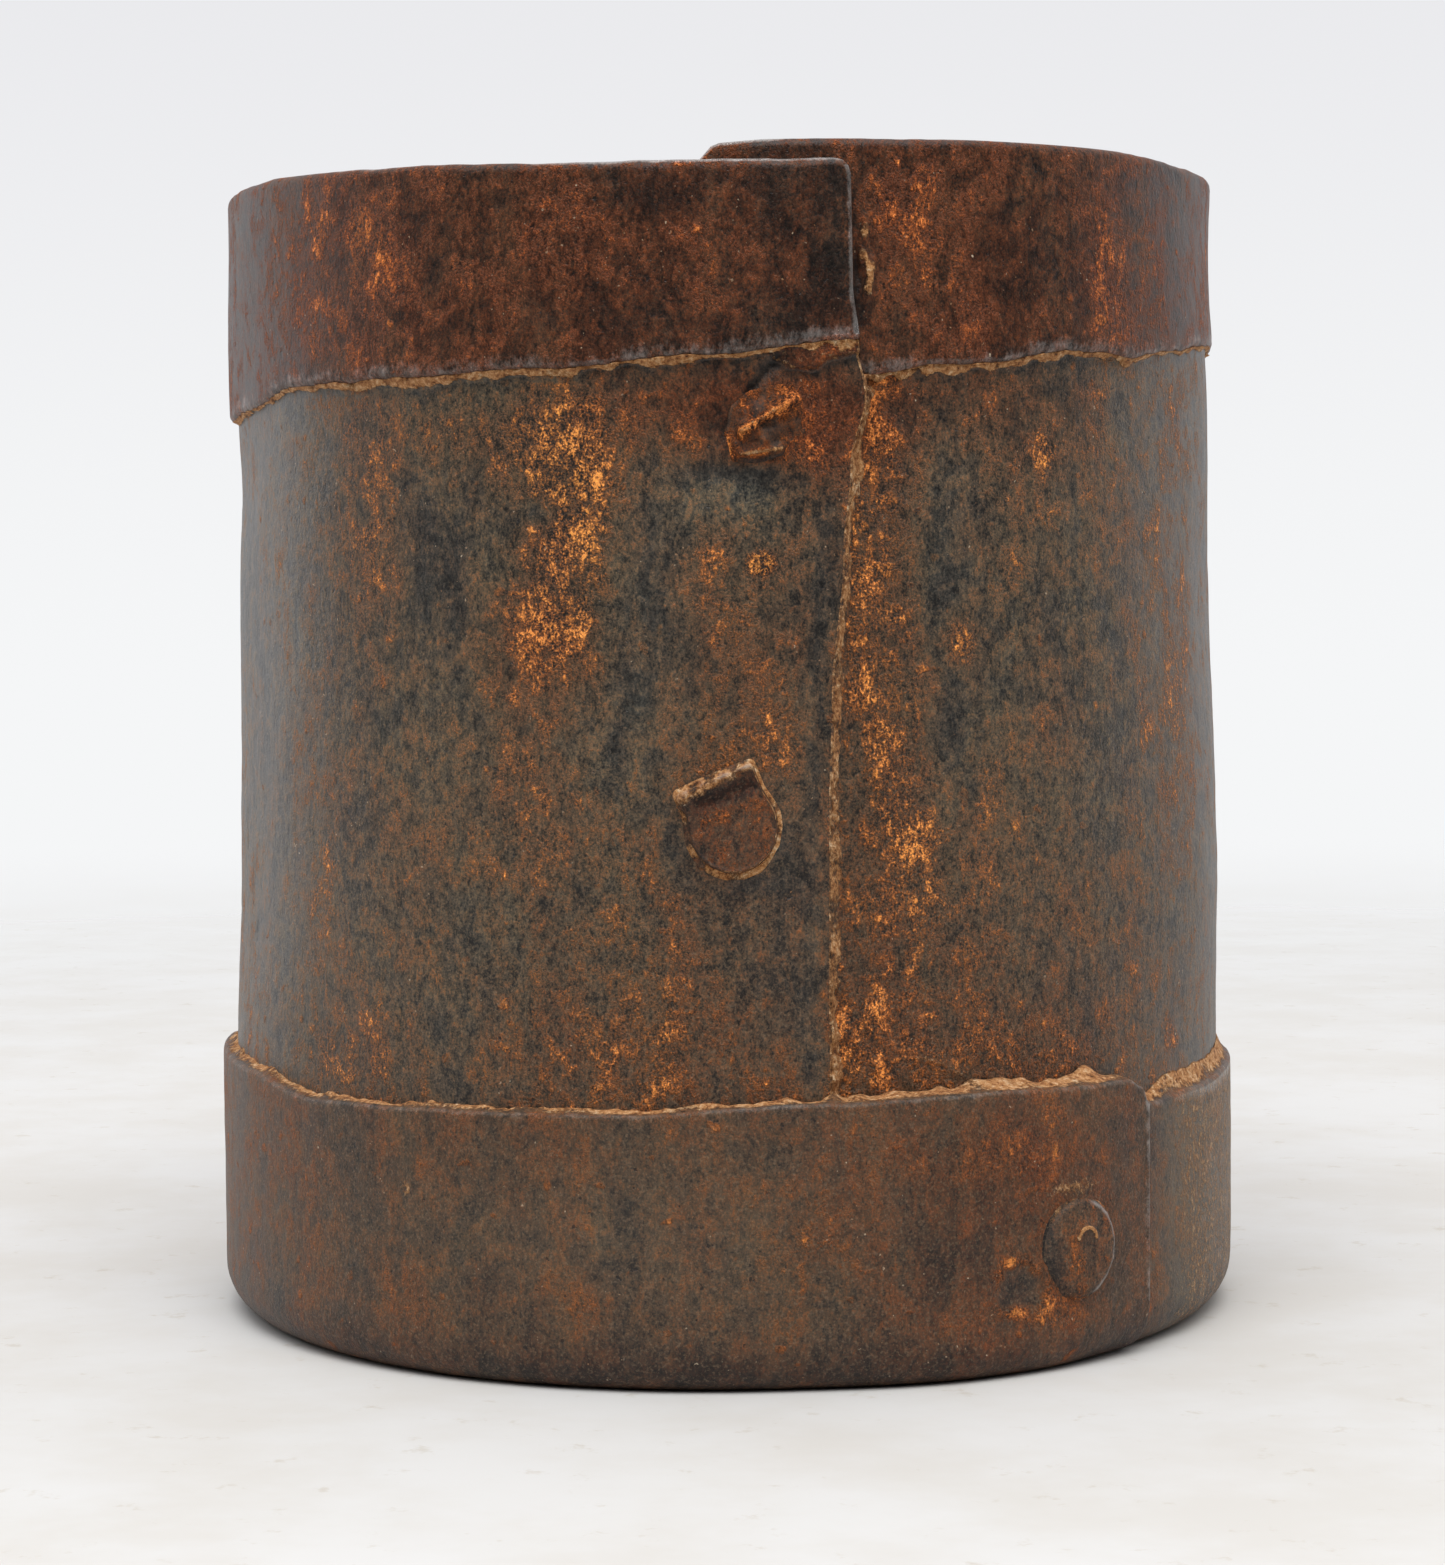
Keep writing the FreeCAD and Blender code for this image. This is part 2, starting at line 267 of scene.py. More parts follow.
# ---------------------------------------------------------------- sheets as swept outlines

def columns(start, end, coarse, fine):
    """Angles from start to end. fine lists (from, to, step) where the steps are closer."""
    found = [start]
    while found[-1] < end:
        step = min([coarse] + [s for low, high, s in fine if low <= found[-1] < high])
        found.append(found[-1] + step)
    if end - found[-2] < 0.4 * (found[-1] - found[-2]):
        found.pop()
    found[-1] = end
    return np.array(found)


def outward(ring):
    """Unit normals of closed (columns, points, 2) outlines, taken along the outline."""
    ahead = np.roll(ring, -1, axis=1) - np.roll(ring, 1, axis=1)
    length = np.maximum(np.linalg.norm(ahead, axis=2, keepdims=True), 1e-6)
    ahead = ahead / length
    return np.stack([-ahead[..., 1], ahead[..., 0]], axis=-1)


END_ROUND = 0.22        # how far a cut end is rounded over
END_STEPS = 4


def rounded_ends(angles, ring, marks):
    """Adds shrinking rings at both ends, so that the cut ends are rounded."""
    normal = outward(ring)
    turns = np.radians(90 * (np.arange(END_STEPS) + 1) / END_STEPS)
    shrink = END_ROUND * (1 - np.cos(turns))[:, None, None]
    reach = np.degrees(END_ROUND * np.sin(turns) / SEAM_R)
    first, last = ring[0] - normal[0] * shrink, ring[-1] - normal[-1] * shrink
    return (np.concatenate([angles[0] - reach[::-1], angles, angles[-1] + reach]),
            np.concatenate([first[::-1], ring, last]),
            np.concatenate([marks[:1]] * END_STEPS + [marks] + [marks[-1:]] * END_STEPS))


def plain_marks(u, red=0.7):
    """Marks of plain rusty iron: no crust, nothing worn bare, middling rust."""
    marks = np.zeros(u.shape + (4,))
    marks[..., 2] = 0.5
    marks[..., 3] = red
    return marks


def mesh_piece(name, points, marks, material, caps=None):
    """One named piece that rides on the cup, from rows of closed rings of points in millimetres.

    caps are the faces that close both ends. Without them the first and the last ring are one face each.
    """
    rows, count = points.shape[:2]
    caps = caps or [tuple(range(count - 1, -1, -1)), tuple(range((rows - 1) * count, rows * count))]
    i, j = np.meshgrid(np.arange(rows - 1) * count, np.arange(count), indexing="ij")
    after = (j + 1) % count
    quads = np.stack([i + j, i + after, i + count + after, i + count + j], axis=-1).reshape(-1, 4)
    mesh = bpy.data.meshes.new(name)
    mesh.from_pydata((points.reshape(-1, 3) * MM).tolist(), [], [tuple(q) for q in quads.tolist()] + caps)
    mesh.validate()
    layer = mesh.attributes.new("marks", "FLOAT_COLOR", "POINT")
    layer.data.foreach_set("color", np.clip(marks, 0, 1).astype(np.float32).ravel())
    mesh.shade_smooth()
    piece = bpy.data.objects.new(name, mesh)
    bpy.context.scene.collection.objects.link(piece)
    mesh.materials.append(material)
    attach(piece, "root")
    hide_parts(name.removesuffix("_look"))


def end_face(heights, first, flip):
    """Closes a cut end whose edge wanders, with short triangles worked up between the outline's two sides."""
    count = len(heights)
    order = (np.argmin(heights) + np.arange(count + 1)) % count
    top = int(np.argmax(heights[order]))
    left, right = order[:top + 1], order[::-1][:count - top + 1]
    climb_left, climb_right = np.maximum.accumulate(heights[left]), np.maximum.accumulate(heights[right])
    faces = []
    i = j = 0
    while i + 1 < len(left) or j + 1 < len(right):
        if j + 1 == len(right) or (i + 1 < len(left) and climb_left[i + 1] <= climb_right[j + 1]):
            faces.append((left[i], left[i + 1], right[j]))
            i += 1
        else:
            faces.append((left[i], right[j + 1], right[j]))
            j += 1
    faces = [tuple(first + int(corner) for corner in face) for face in faces if len(set(face)) == 3]
    return [face[::-1] for face in faces] if flip else faces


def swept_sheet(name, angles, runs, marks, material, shift=None):
    """Closed sheet from an outline at each angle, given as runs of [radii, heights] and their marks.

    shift(angle, height) moves places round the cup.
    """
    ring = np.stack([beside(*(run[0] for run in runs)), beside(*(run[1] for run in runs))], axis=-1)
    angles, ring, marks = rounded_ends(angles, ring, beside(*marks))
    rows, count = ring.shape[:2]
    turn = np.broadcast_to(angles[:, None], (rows, count))
    caps = None
    if shift is not None:
        turn = turn + shift(turn, ring[..., 1])
        caps = end_face(ring[0, :, 1], 0, True) + end_face(ring[-1, :, 1], (rows - 1) * count, False)
    a = np.radians(turn)
    points = np.stack([ring[..., 0] * np.sin(a), -ring[..., 0] * np.cos(a), ring[..., 1]], axis=-1)
    mesh_piece(name, points, marks, material, caps)


def edge_fade(angles, width):
    """0 at both ends of a sheet and 1 away from them, so that relief stops short of the cut edges."""
    return (smooth((angles - angles[0]) / width) * smooth((angles[-1] - angles) / width))[:, None]


def relief(angle, z, seed):
    """Height of rust scale, pits and hammer marks on a face, in millimetres."""
    p = round_point(angle, z)
    stretched = p * np.array([1, 1, 0.55])
    scale = 0.030 * smooth((fractal(stretched, 5.0, seed, 4) - 0.05) / 0.25)
    grain = 0.020 * fractal(stretched, 1.2, seed + 3, 2)
    pit_field = noise(p, 1.5, seed + 7)
    pits = -0.07 * smooth((pit_field - 0.62) / 0.25) * smooth((noise(p, 9.0, seed + 8) + 0.2) / 0.5)
    hammer = 0.05 * noise(p, 6.0, seed + 11)
    return scale + grain + pits + hammer


# ---------------------------------------------------------------- wall sheet

# Where the columns stand closer: (from, to, step).
WALL_COLUMNS = ((-6, 8, 0.9), (8, 20, 0.22), (20, 80, 0.5), (280, 335, 0.6), (335, 366, 0.4),
                (366, 373, 0.25))
UNDER_END_TO, OVER_END_FROM = 180, 300      # angles short of, and past, which a place is near that end
SEEN_LAP = 0.05             # past this much of the lap the under-lapping end shows
HEM_LIP, HEM_LIP_DEPTH = 0.50, 0.42         # height and depth of the hem's rounded lower edge
NEAR_BAND = 2.6             # height above the foot band where the points get closer
SNIPPED = 3.4               # the hidden end's rim corner is cut off

# Places down the hem (share of its height), below the hem and down to the foot band (millimetres).
HEM_STEPS = along(0, .02, .05, .09, .14, .19, .24, .29, .34, .39, .44, .49, .54, .59, .64, .69, .74, .78,
                  .82, .86, .89, .92, .945, .965, .98, 1)
BELOW_HEM = along(-.02, .06, .13, .21, .30, .40, .51, .63, .77, .93, 1.1, 1.28, 1.46, 1.64, 1.82, 2.0, 2.2,
                  2.45, 2.75, 3.1)
TO_BAND = along(.25, .5, .75, 1., 1.25, 1.5, 1.75, 2., 2.2, 2.4, 2.6, 2.8, 3.2)
FOLD_TURN = np.radians(np.linspace(180, 0, 11)[1:-1])[None, :]
LIP_TURN = np.radians(along(18, 36, 54, 72, 90, 115, 140, 165))
# How far the torn brown layer hangs below the hem at the lap: (angle, millimetres).
TORN_REACH = ((363.2, 0.0), (364.2, 0.8), (365.4, 1.5), (367.5, 1.7), (369.5, 1.2), (372.2, 1.05))


# Colour patches: centre (angle, height), half width and half height in millimetres, strength.
# The patches at (4.2, 38.0) below right and (6.9, 41.4) right of the middle rivet are painted shade, and the
# one at (1.5, 68.2) is painted shade under the upper rivet's lower lip.
RUST_PATCHES = (
    ((-17, 66), 4.6, 7.0, 0.25), ((-17.5, 57), 5.0, 3.5, 0.18), ((-26, 71), 9, 2.5, 0.20),
    ((-41, 61), 3.0, 4, 0.08), ((3.8, 61.6), 0.9, 0.8, 0.85), ((25.9, 55.7), 1.6, 2.0, 0.35),
    ((17, 50), 3.2, 8, 0.06), ((21, 36), 6, 9, 0.08), ((18, 66), 3.5, 6, 0.08), ((3.7, 57), 3.2, 6, -0.03),
    ((3, 69), 5, 4, 0.14), ((37, 69.6), 1.2, 1.8, 0.32), ((34, 24), 9, 2.5, 0.12), ((-50, 24), 6, 3, 0.14),
    ((-12, 33), 16, 9, 0.05), ((0, 49), 4, 3, 0.02), ((110, 60), 14, 12, 0.18), ((-8, 27), 12, 5, 0.05),
    ((168, 44), 10, 14, 0.18), ((215, 68), 12, 6, 0.18), ((252, 34), 12, 10, 0.16), ((140, 28), 9, 5, 0.14),
    ((-31, 63), 5.5, 14, -0.18), ((-8, 62), 3.5, 9, -0.26), ((-9, 50), 5, 6, -0.16),
    ((-37, 42), 10, 14, -0.08), ((25, 62), 2.6, 9, -0.26), ((44, 54), 8, 20, -0.10),
    ((7.6, 34), 3, 9, -0.12), ((-19.9, 65.5), 1.6, 1.0, -0.30), ((-60, 56), 6, 24, -0.12),
    ((130, 50), 10, 14, -0.14), ((192, 60), 10, 12, -0.15), ((236, 52), 9, 16, -0.14),
    ((78, 46), 8, 20, -0.12), ((-78, 48), 9, 26, -0.18), ((4.2, 38.0), 2.4, 0.9, -0.26),
    ((-4.9, 41), 1.2, 2.4, -0.14), ((6.9, 41.4), 0.9, 1.8, -0.24), ((1.5, 68.2), 3.2, 0.6, -0.26),
    ((-1.2, 71.4), 0.9, 2.4, -0.24), ((24.5, 47), 2.0, 5.0, -0.16), ((2.5, 30), 4.5, 6, -0.03),
    ((0.0, 67), 3.6, 2.2, -0.30),
)
RED_PATCHES = (
    ((3, 72), 8, 5, 0.65), ((-6, 74), 7, 3, 0.35), ((5, 30), 9, 10, 0.20), ((0, 43), 5, 6, 0.35),
    ((14, 72), 8, 4, 0.30), ((30, 74), 12, 4, 0.30), ((16, 45), 5, 24, 0.18), ((3, 55), 6, 6, 0.18),
    ((-10, 24), 16, 6, 0.20), ((150, 55), 20, 18, 0.35), ((35, 27), 14, 7, 0.25), ((-20, 55), 5, 4, 0.30),
    ((0, 66.5), 3.6, 2.0, -0.50),
)
HEM_PATCHES = (
    ((-15, 86.5), 4, 3.0, 0.08), ((-3, 84), 4, 3.0, 0.05), ((-42, 85), 7, 4, 0.08),
    ((-7, 89), 3.0, 2.0, -0.28), ((5, 89), 5, 3.0, -0.20), ((10, 80), 4, 4, -0.20),
    ((-12, 79.5), 8, 2, -0.14), ((33, 84), 4, 6, -0.16), ((22, 84), 4, 6, 0.05), ((48, 82), 6, 5, 0.07),
    ((17, 89), 4, 2.0, 0.08), ((0, 84), 14, 8, -0.04),
)


def rim_top(a):
    ripple = 0.10 * lumps(a, 90.0, 9.0, 21) + 0.05 * lumps(a, 90.0, 1.5, 22)
    snipped = np.maximum(0, SNIPPED - np.radians(a - WALL_UNDER_END) * SEAM_R)
    return np.minimum(between(RIM_Z, a) + ripple, RIM_TOP - 0.02) - snipped


def wall_band_top(a):
    """Top of the foot band, as it shows outside the wall."""
    return band_top(np.where(a + 360 < BAND_OVER_END, a + 360, a))


def wall_runs(a):
    """The outline as runs of [radii, heights]: inside, fold, hem, hem's lip, crevice behind it, outside."""
    edge, band = hem_edge(a), wall_band_top(a)
    fold_r = HEM_T / 2
    fold_z = rim_top(a) - fold_r
    inside_z = WALL_Z + (fold_z - WALL_Z) * np.linspace(0, 1, 44)[None, :]
    fold_rr = wall_outer(a, fold_z) + LAP_GAP / 2 + fold_r * np.cos(FOLD_TURN)
    fold_zz = fold_z + fold_r * np.sin(FOLD_TURN)
    hem_z = (edge + HEM_LIP) + (fold_z - edge - HEM_LIP) * (1 - HEM_STEPS)
    lip_r = wall_outer(a, edge + HEM_LIP) + LAP_GAP + WALL_T - HEM_LIP_DEPTH * (1 - np.cos(LIP_TURN))
    lip_z = edge + HEM_LIP - HEM_LIP * np.sin(LIP_TURN)

    deepest = BELOW_HEM[0, -1]
    middle = (edge - deepest) + (band + NEAR_BAND - edge + deepest) * np.linspace(0, 1, 108)[1:][None, :]
    low = band + NEAR_BAND - TO_BAND
    hidden = WALL_Z + (low[:, -1:] - WALL_Z) * np.linspace(1, 0, 6)[1:][None, :]
    outside_z = beside(edge - BELOW_HEM, middle, low, hidden)
    return [[wall_outer(a, inside_z) - WALL_T, inside_z], [fold_rr, fold_zz],
            [wall_outer(a, hem_z) + LAP_GAP + WALL_T, hem_z], [lip_r, lip_z],
            [wall_outer(a, edge) + 0.03, edge + 0.22], [wall_outer(a, outside_z), outside_z]]


def crumbs(a, z):
    return 0.8 + 0.60 * fractal(round_point(a, z), 0.7, 53, 2)


def under_hem(a, z):
    """Rust below the hem: heights of crust and hanging layer, strength of the layer's edge, and painted shade
    under the hanging layer and along the crust's lower edge.
    """
    below = hem_edge(a) - z
    showing = below > -0.05
    reach = 0.72 + 0.40 * lumps(a, 10.0, 4.0, 51) + 0.50 * lumps(a, 10.0, 0.9, 52)
    reach = np.maximum(reach * (1 - 0.45 * smooth((np.abs(turn_from(a, 0)) - 30) / 30)), 0.15)
    crust = 0.50 * (1 - smooth(below / reach)) * crumbs(a, z) * showing
    ragged = bell((below - reach - 0.12) / 0.16) * smooth(0.45 + lumps(a, z, 0.8, 65))

    torn = between(TORN_REACH, a) * (a > OVER_END_FROM) + 0.22 * lumps(a, 5.0, 0.9, 54)
    hanging = 0.40 * smooth(torn / 0.3) * (1 - smooth((below - torn) / 0.2)) * showing
    hangs = (a > OVER_END_FROM) * smooth((torn - 0.3) / 0.4)
    shade = 0.26 * hangs * bell((below - torn - 0.45) / 0.30) * smooth(0.6 + lumps(a, z, 0.9, 63))
    return crust, hanging, hangs * bell((below - torn) / 0.24), shade + 0.20 * ragged * (torn < 0.3)


def along_lap(a, z):
    """Rust beside the lap: distance, bare side, heights of crust and scabs, and the split-off layer."""
    lap = lap_distance(a, z)
    bare_side = (a < UNDER_END_TO) & (lap > 0)
    reach = np.maximum(1.10 + 0.40 * lumps(a, z, 2.4, 55) + 0.30 * lumps(a, z, 0.8, 56), 0.5)
    crust = bare_side * 0.80 * (1 - smooth(lap / reach)) * np.maximum(crumbs(a, z), 0.72)
    p = round_point(a, z)
    scabs = bare_side * 0.16 * smooth(1.3 - lap / 7) * fractal(p, 1.1, 57, 3)
    scabs = scabs + (a > OVER_END_FROM) * 0.16 * spot(a, z, (6, 72.5), 6.5, 4.0) * fractal(p, 1.4, 62, 3)
    bend = (22.5, 24.2)
    split = np.maximum(stroke(a, z, (19.2, 24.8), bend, 0.3), stroke(a, z, bend, (28.5, 21.9), 0.3))
    return lap, bare_side, crust, scabs, bare_side * split * smooth(0.65 + 0.9 * noise(p, 1.2, 58))


def hem_damage(a, z):
    """Flakes that stand off the hem, most of them beside the lap, and a hole rusted there."""
    near_lap = (spot(a, z, (15.3, 86.3), 0.45, 0.65) + stroke(a, z, (15.0, 84.5), (16.2, 83.2), 0.30)
                + stroke(a, z, (16.2, 83.2), (15.5, 81.5), 0.30)) * (a < UNDER_END_TO)
    hole = spot(a, z, (14.5, 83.3), 0.35, 1.0) * (a < UNDER_END_TO)
    return smooth((near_lap + 0.3 * lumps(a, z, 0.7, 61) - 0.2) / 0.5), hole


def wander(turn, z):
    """Carries the over-lapping end's wandering edge, and fades out along the sheet."""
    fade_from = 346
    share = smooth((turn - fade_from) / (WALL_OVER_END - fade_from))
    return (between(LAP_EDGE, z) + 360 - WALL_OVER_END) * share


def wall_piece(material):
    angles = columns(WALL_UNDER_END, WALL_OVER_END, 1.2, WALL_COLUMNS)
    a = angles[:, None]
    inside, fold, hem, lip, crevice, outside = runs = wall_runs(a)
    inside_z, hem_z, z = inside[1], hem[1], outside[1]
    fade = edge_fade(angles, 0.5)
    above_lip = hem_z - hem_edge(a) - HEM_LIP
    under_end = a < UNDER_END_TO

    crust, hanging, torn_edge, hem_shade = under_hem(a, z)
    lap, bare_side, lap_crust, scabs, split = along_lap(a, z)
    slot = (a > OVER_END_FROM) * stroke(a, z, (4.3, 76.8), (1.2, 74.3), 0.42)
    visible = smooth((z - wall_band_top(a)) / 0.4) * ~(under_end & (lap < SEEN_LAP))
    clean = visible * (1 - smooth((crust + lap_crust) / 0.2))
    raised = np.maximum(crust, hanging) + lap_crust + scabs + 0.11 * split - 0.42 * slot
    outside[0] += visible * raised + clean * relief(a, z, 100) * fade

    hem_seen = ~(under_end & (lap_distance(a, hem_z) < SEEN_LAP))
    flakes, hole = hem_damage(a, hem_z)
    hem_relief = relief(a, hem_z, 140) * smooth(above_lip / 0.7) * fade
    hem[0] += hem_seen * (hem_relief + 0.34 * flakes - 0.30 * hole)
    inside[0] -= (a <= 352) * 0.8 * relief(a, inside_z, 180) * smooth((inside_z - 4) / 3)

    redness = (0.55, 0.9, 0.9, 0.9, 0.9, 0.20)
    marks = [plain_marks(run[1], red) for run, red in zip(runs, redness)]
    inside_m, fold_m, hem_m, lip_m, crevice_m, outside_m = marks
    from_end = np.radians(WALL_OVER_END - a) * SEAM_R
    # Rubbed bare metal along the rim: wear, made stronger at the front and on the under-lapping end's rim as
    # a painted highlight on the rim's top.
    rubbed_and_highlight = 0.38 + 0.3 * lumps(a, 90.0, 5.0, 71) + 0.75 * spot(a, 90, (2, 90), 14, WHOLE_HEIGHT) * ~under_end
    rubbed_and_highlight = rubbed_and_highlight + 0.8 * (a < 8) * smooth((9 - a) / 4)
    inside_m[..., 2] = 0.55
    fold_m[..., 1] = rubbed_and_highlight * np.sin(FOLD_TURN) ** 2
    hem_m[..., 0] = hem_seen * 0.8 * flakes
    # Bare metal on the hem: wear near the rim and at the hidden end's corner, a painted highlight along the
    # over-lapping end's edge, and a painted reflection of the floor above the hem's lower edge.
    hem_m[..., 1] = ((0.5 * rubbed_and_highlight) * (1 - smooth((rim_top(a) - hem_z) / 0.9))
                     + 0.50 * (1 - smooth(from_end / 0.40))
                     + 0.55 * (1 - smooth((a - WALL_UNDER_END) / 2.2))
                     + (0.36 + 0.14 * lumps(a, 80.0, 3.0, 64)) * (1 - smooth(above_lip / 1.6)))
    hem_m[..., 2] += patches(HEM_PATCHES, a, hem_z) - hem_seen * 0.35 * hole
    lip_m[..., 0] = 0.7 * smooth((np.degrees(LIP_TURN) - 80) / 50)
    # Painted reflection of the floor on the hem's rounded lower lip.
    lip_m[..., 1] = 0.40
    crevice_m[..., 0] = 0.6
    outside_m[..., 0] = np.maximum.reduce([
        0.84 * smooth(crust / 0.14) * visible,
        (0.64 + 0.30 * lumps(a, z, 1.1, 66)) * smooth(lap_crust / 0.10) * visible,
        0.3 * smooth(hanging / 0.2), 0.50 * split * visible, 0.5 * torn_edge * visible])
    outside_m[-1, :, 0] = 0.55 * visible[-1]
    seam_shade = 0.16 * bell((from_end - 1.4) / 0.9) * (z < 66)
    # Rust lowered in the slot is painted shade in it; seam_shade and hem_shade are painted shade too.
    outside_m[..., 2] += (patches(RUST_PATCHES, a, z) + 0.07 * bare_side * bell(lap / 7.0)
                          - 0.45 * slot - seam_shade - hem_shade)
    outside_m[..., 3] += patches(RED_PATCHES, a, z) + 0.60 * smooth(hanging / 0.3)
    return swept_sheet("wall_sheet_look", angles, runs, marks, material, wander)


# ---------------------------------------------------------------- foot band

BAND_COLUMNS = ((47, 52, 0.2), (52, 80, 0.5), (280, 400, 0.5), (400, 409, 0.2))
BAND_LIP = 0.42             # rounding of the band's upper edge
TAB_FOOT_Z = 2.85           # lower edge of the under-lapping end, which has no turned-in lip
FRONT_RIVET = place_of("band_rivet_front")

# Shares: over the rusty ledge, down the outer face, and inwards under the floor.
ACROSS = np.linspace(0, 1, 9)[None, :]
FACE_STEPS = along(0, .02, .045, .075, .11, .15, .19, .23, .27, .31, .35, .39, .43, .47, .51, .55, .59, .63,
                   .67, .71, .75, .79, .83, .87, .91, .95, 1.0)
UNDER_STEPS = np.linspace(0, 1, 13)[1:][None, :]
SHOULDER_TURN = np.radians(along(67, 45, 22))
HEEL_TURN = np.radians(np.linspace(0, 90, 11)[1:])[None, :]

LEDGE_HEAPS = (((41.4, 20), 1.1, WHOLE_HEIGHT, 0.9), ((11, 20), 0.5, WHOLE_HEIGHT, 0.7))
BAND_RUST_PATCHES = (((26, 17.5), 5, 3, 0.10), ((8, 11), 4, 3, 0.08), ((35, 5), 1.9, 0.9, 0.08),
                     ((36, 4), 4, 1.5, 0.07), ((31, 16.5), 5, 2.5, 0.12), ((-12, 12), 14, 5, -0.08))
BAND_RED_PATCHES = (((32, 12), 13, 8, 0.25), ((-5, 11), 22, 6, -0.15))


def ledge_height(a):
    """Height of the crust between band and wall, which is heaped up on the right and at two places."""
    turn = turn_from(a, 0)
    ledge = 0.34 + 0.24 * lumps(a, 25.0, 5.0, 201) + 0.36 * lumps(a, 25.0, 1.2, 202)
    ledge = ledge + 1.1 * smooth((turn - 49) / 8) * (1 - smooth((turn - 92) / 14))
    ledge = ledge + 0.5 * smooth((-turn - 50) / 30) * (1 - smooth((-turn - 95) / 14))
    return np.maximum(ledge + patches(LEDGE_HEAPS, a, 20), 0.08)


def band_flake(a, z):
    """Field that passes 0.4 at the border of the flaked place beside the front rivet."""
    return spot(a, z, (30.6, 6.7), 2.7, 1.9) + 0.16 * lumps(a, z, 1.2, 231)


def band_relief(a, z):
    """Relief of the outer face: rust, the beaten place round the rivet, the flaked place and a ringed pit."""
    flake = band_flake(a, z)
    pit = np.hypot(np.radians(turn_from(a, 6.1)) * BAND_R, z - 7.9)
    return (relief(a, z, 220) * 0.9 + band_dent(a, z, FRONT_RIVET)
            + 0.22 * spot(a, z, (FRONT_RIVET[0] + 1.5, FRONT_RIVET[1] + 4.6), 3.0, 1.4)
            - 0.13 * smooth((flake - 0.42) / 0.10) + 0.19 * bell((flake - 0.36) / 0.10)
            + 0.12 * bell((pit - 0.75) / 0.22) - 0.12 * bell(pit / 0.45))


def right_side(a, start, reach):
    """0 at the front, 1 on the right of the cup, 0 again behind."""
    turn = turn_from(a, 0)
    return smooth((turn - start) / reach) * (1 - smooth((turn - 90) / 45))


def band_runs(angles):
    """The outline as runs of [radii, heights]: ledge, shoulder, face, heel, underside, lip, inside and neck.

    Also gives where the ledge's noise is read, and the heights of face with heel and of the face alone.
    """
    a = angles[:, None]
    flat = 0 * a
    outer, top = band_outer(a), band_top(a)
    inner = outer - BAND_T
    covered = a < TAB_START - 1.0
    touch_z = top + np.where(covered, 0.1, ledge_height(a))
    touch_r = np.minimum(wall_outer(turn_from(a, 0), touch_z) + 0.02, inner - 0.02)
    touch_r = np.where(covered, inner - 0.05, touch_r)
    ledge_r = touch_r + (outer - BAND_LIP - touch_r) * ACROSS
    ledge_z = top + (touch_z - top) * (1 - ACROSS) ** 1.3
    ledge_p = round_point(a, ledge_z, BAND_R)
    body = np.sin(np.pi * np.clip(ACROSS * 0.9 + 0.05, 0, 1))
    ledge_z = ledge_z + np.where(covered, 0, body * (0.20 * fractal(ledge_p, 0.9, 204, 3) + 0.05))

    # The heel is worn rounder away from the front, and rounder still at the end of the lap.
    aside, cut_back = smooth((np.abs(turn_from(a, 0)) - 25) / 50), smooth((a - 394) / 12)
    heel_z, heel_r = 2.6 + 1.4 * aside + 0.9 * cut_back, 2.1 + 1.1 * aside + 0.6 * cut_back
    face_z = heel_z + (top - BAND_LIP - heel_z) * (1 - FACE_STEPS)
    heel_zz = heel_z * (1 - np.sin(HEEL_TURN))
    skin_z = beside(face_z, heel_zz)
    clear = smooth((skin_z - 0.25) / 1.2) * smooth((top - BAND_LIP - skin_z) / 0.7)
    rise = band_relief(a, skin_z) * clear * ~covered * edge_fade(angles, 0.6)
    steps = face_z.shape[1]
    face_r, heel_rr = outer + rise[:, :steps], outer - heel_r * (1 - np.cos(HEEL_TURN)) + rise[:, steps:]

    # Radial puckers where the lip was hammered in.
    cut_r = LIP_INNER_R + 0.35 * lumps(a, 2.0, 4.0, 211)
    under_r = (outer - heel_r) + (cut_r - outer + heel_r) * UNDER_STEPS
    under_p = np.stack([np.radians(a) * 40 + 0 * under_r, under_r, 0 * under_r], axis=-1)
    pucker = 0.06 * lumps(a, 0.0, 3.0, 241) + 0.05 * noise(under_p, 3.5, 242)
    free = smooth(UNDER_STEPS / 0.2) * smooth((1 - UNDER_STEPS) / 0.1 + 0.4)
    under_z = np.maximum(0.0, pucker - 0.01) * free
    shoulder_r = outer - BAND_LIP * (1 - np.cos(SHOULDER_TURN))
    runs = [[ledge_r, ledge_z], [shoulder_r, top - BAND_LIP * (1 - np.sin(SHOULDER_TURN))],
            [face_r, face_z], [heel_rr, heel_zz], [under_r, under_z],
            [beside(cut_r - 0.08, cut_r - 0.08, cut_r), beside(flat + 0.22, flat + 0.70, flat + 0.90)],
            [beside(inner - 1.3, inner - 0.45, inner - 0.1, inner, inner),
             beside(flat + 0.91, flat + 1.12, flat + 1.6, flat + 2.3, top - 0.9)],
            [beside(inner, touch_r + 0.12), beside(top - 0.45, touch_z - 0.25)]]

    # The under-lapping end has no lip: there the outline ends in a plain lower edge.
    for run in runs:
        below = (a < TAB_START - 0.01) & (run[1] < TAB_FOOT_Z)
        run[0] = np.where(below, np.clip(run[0], inner, outer), run[0])
        run[1] = np.where(below, TAB_FOOT_Z, run[1])
    return runs, ledge_p, skin_z, face_z


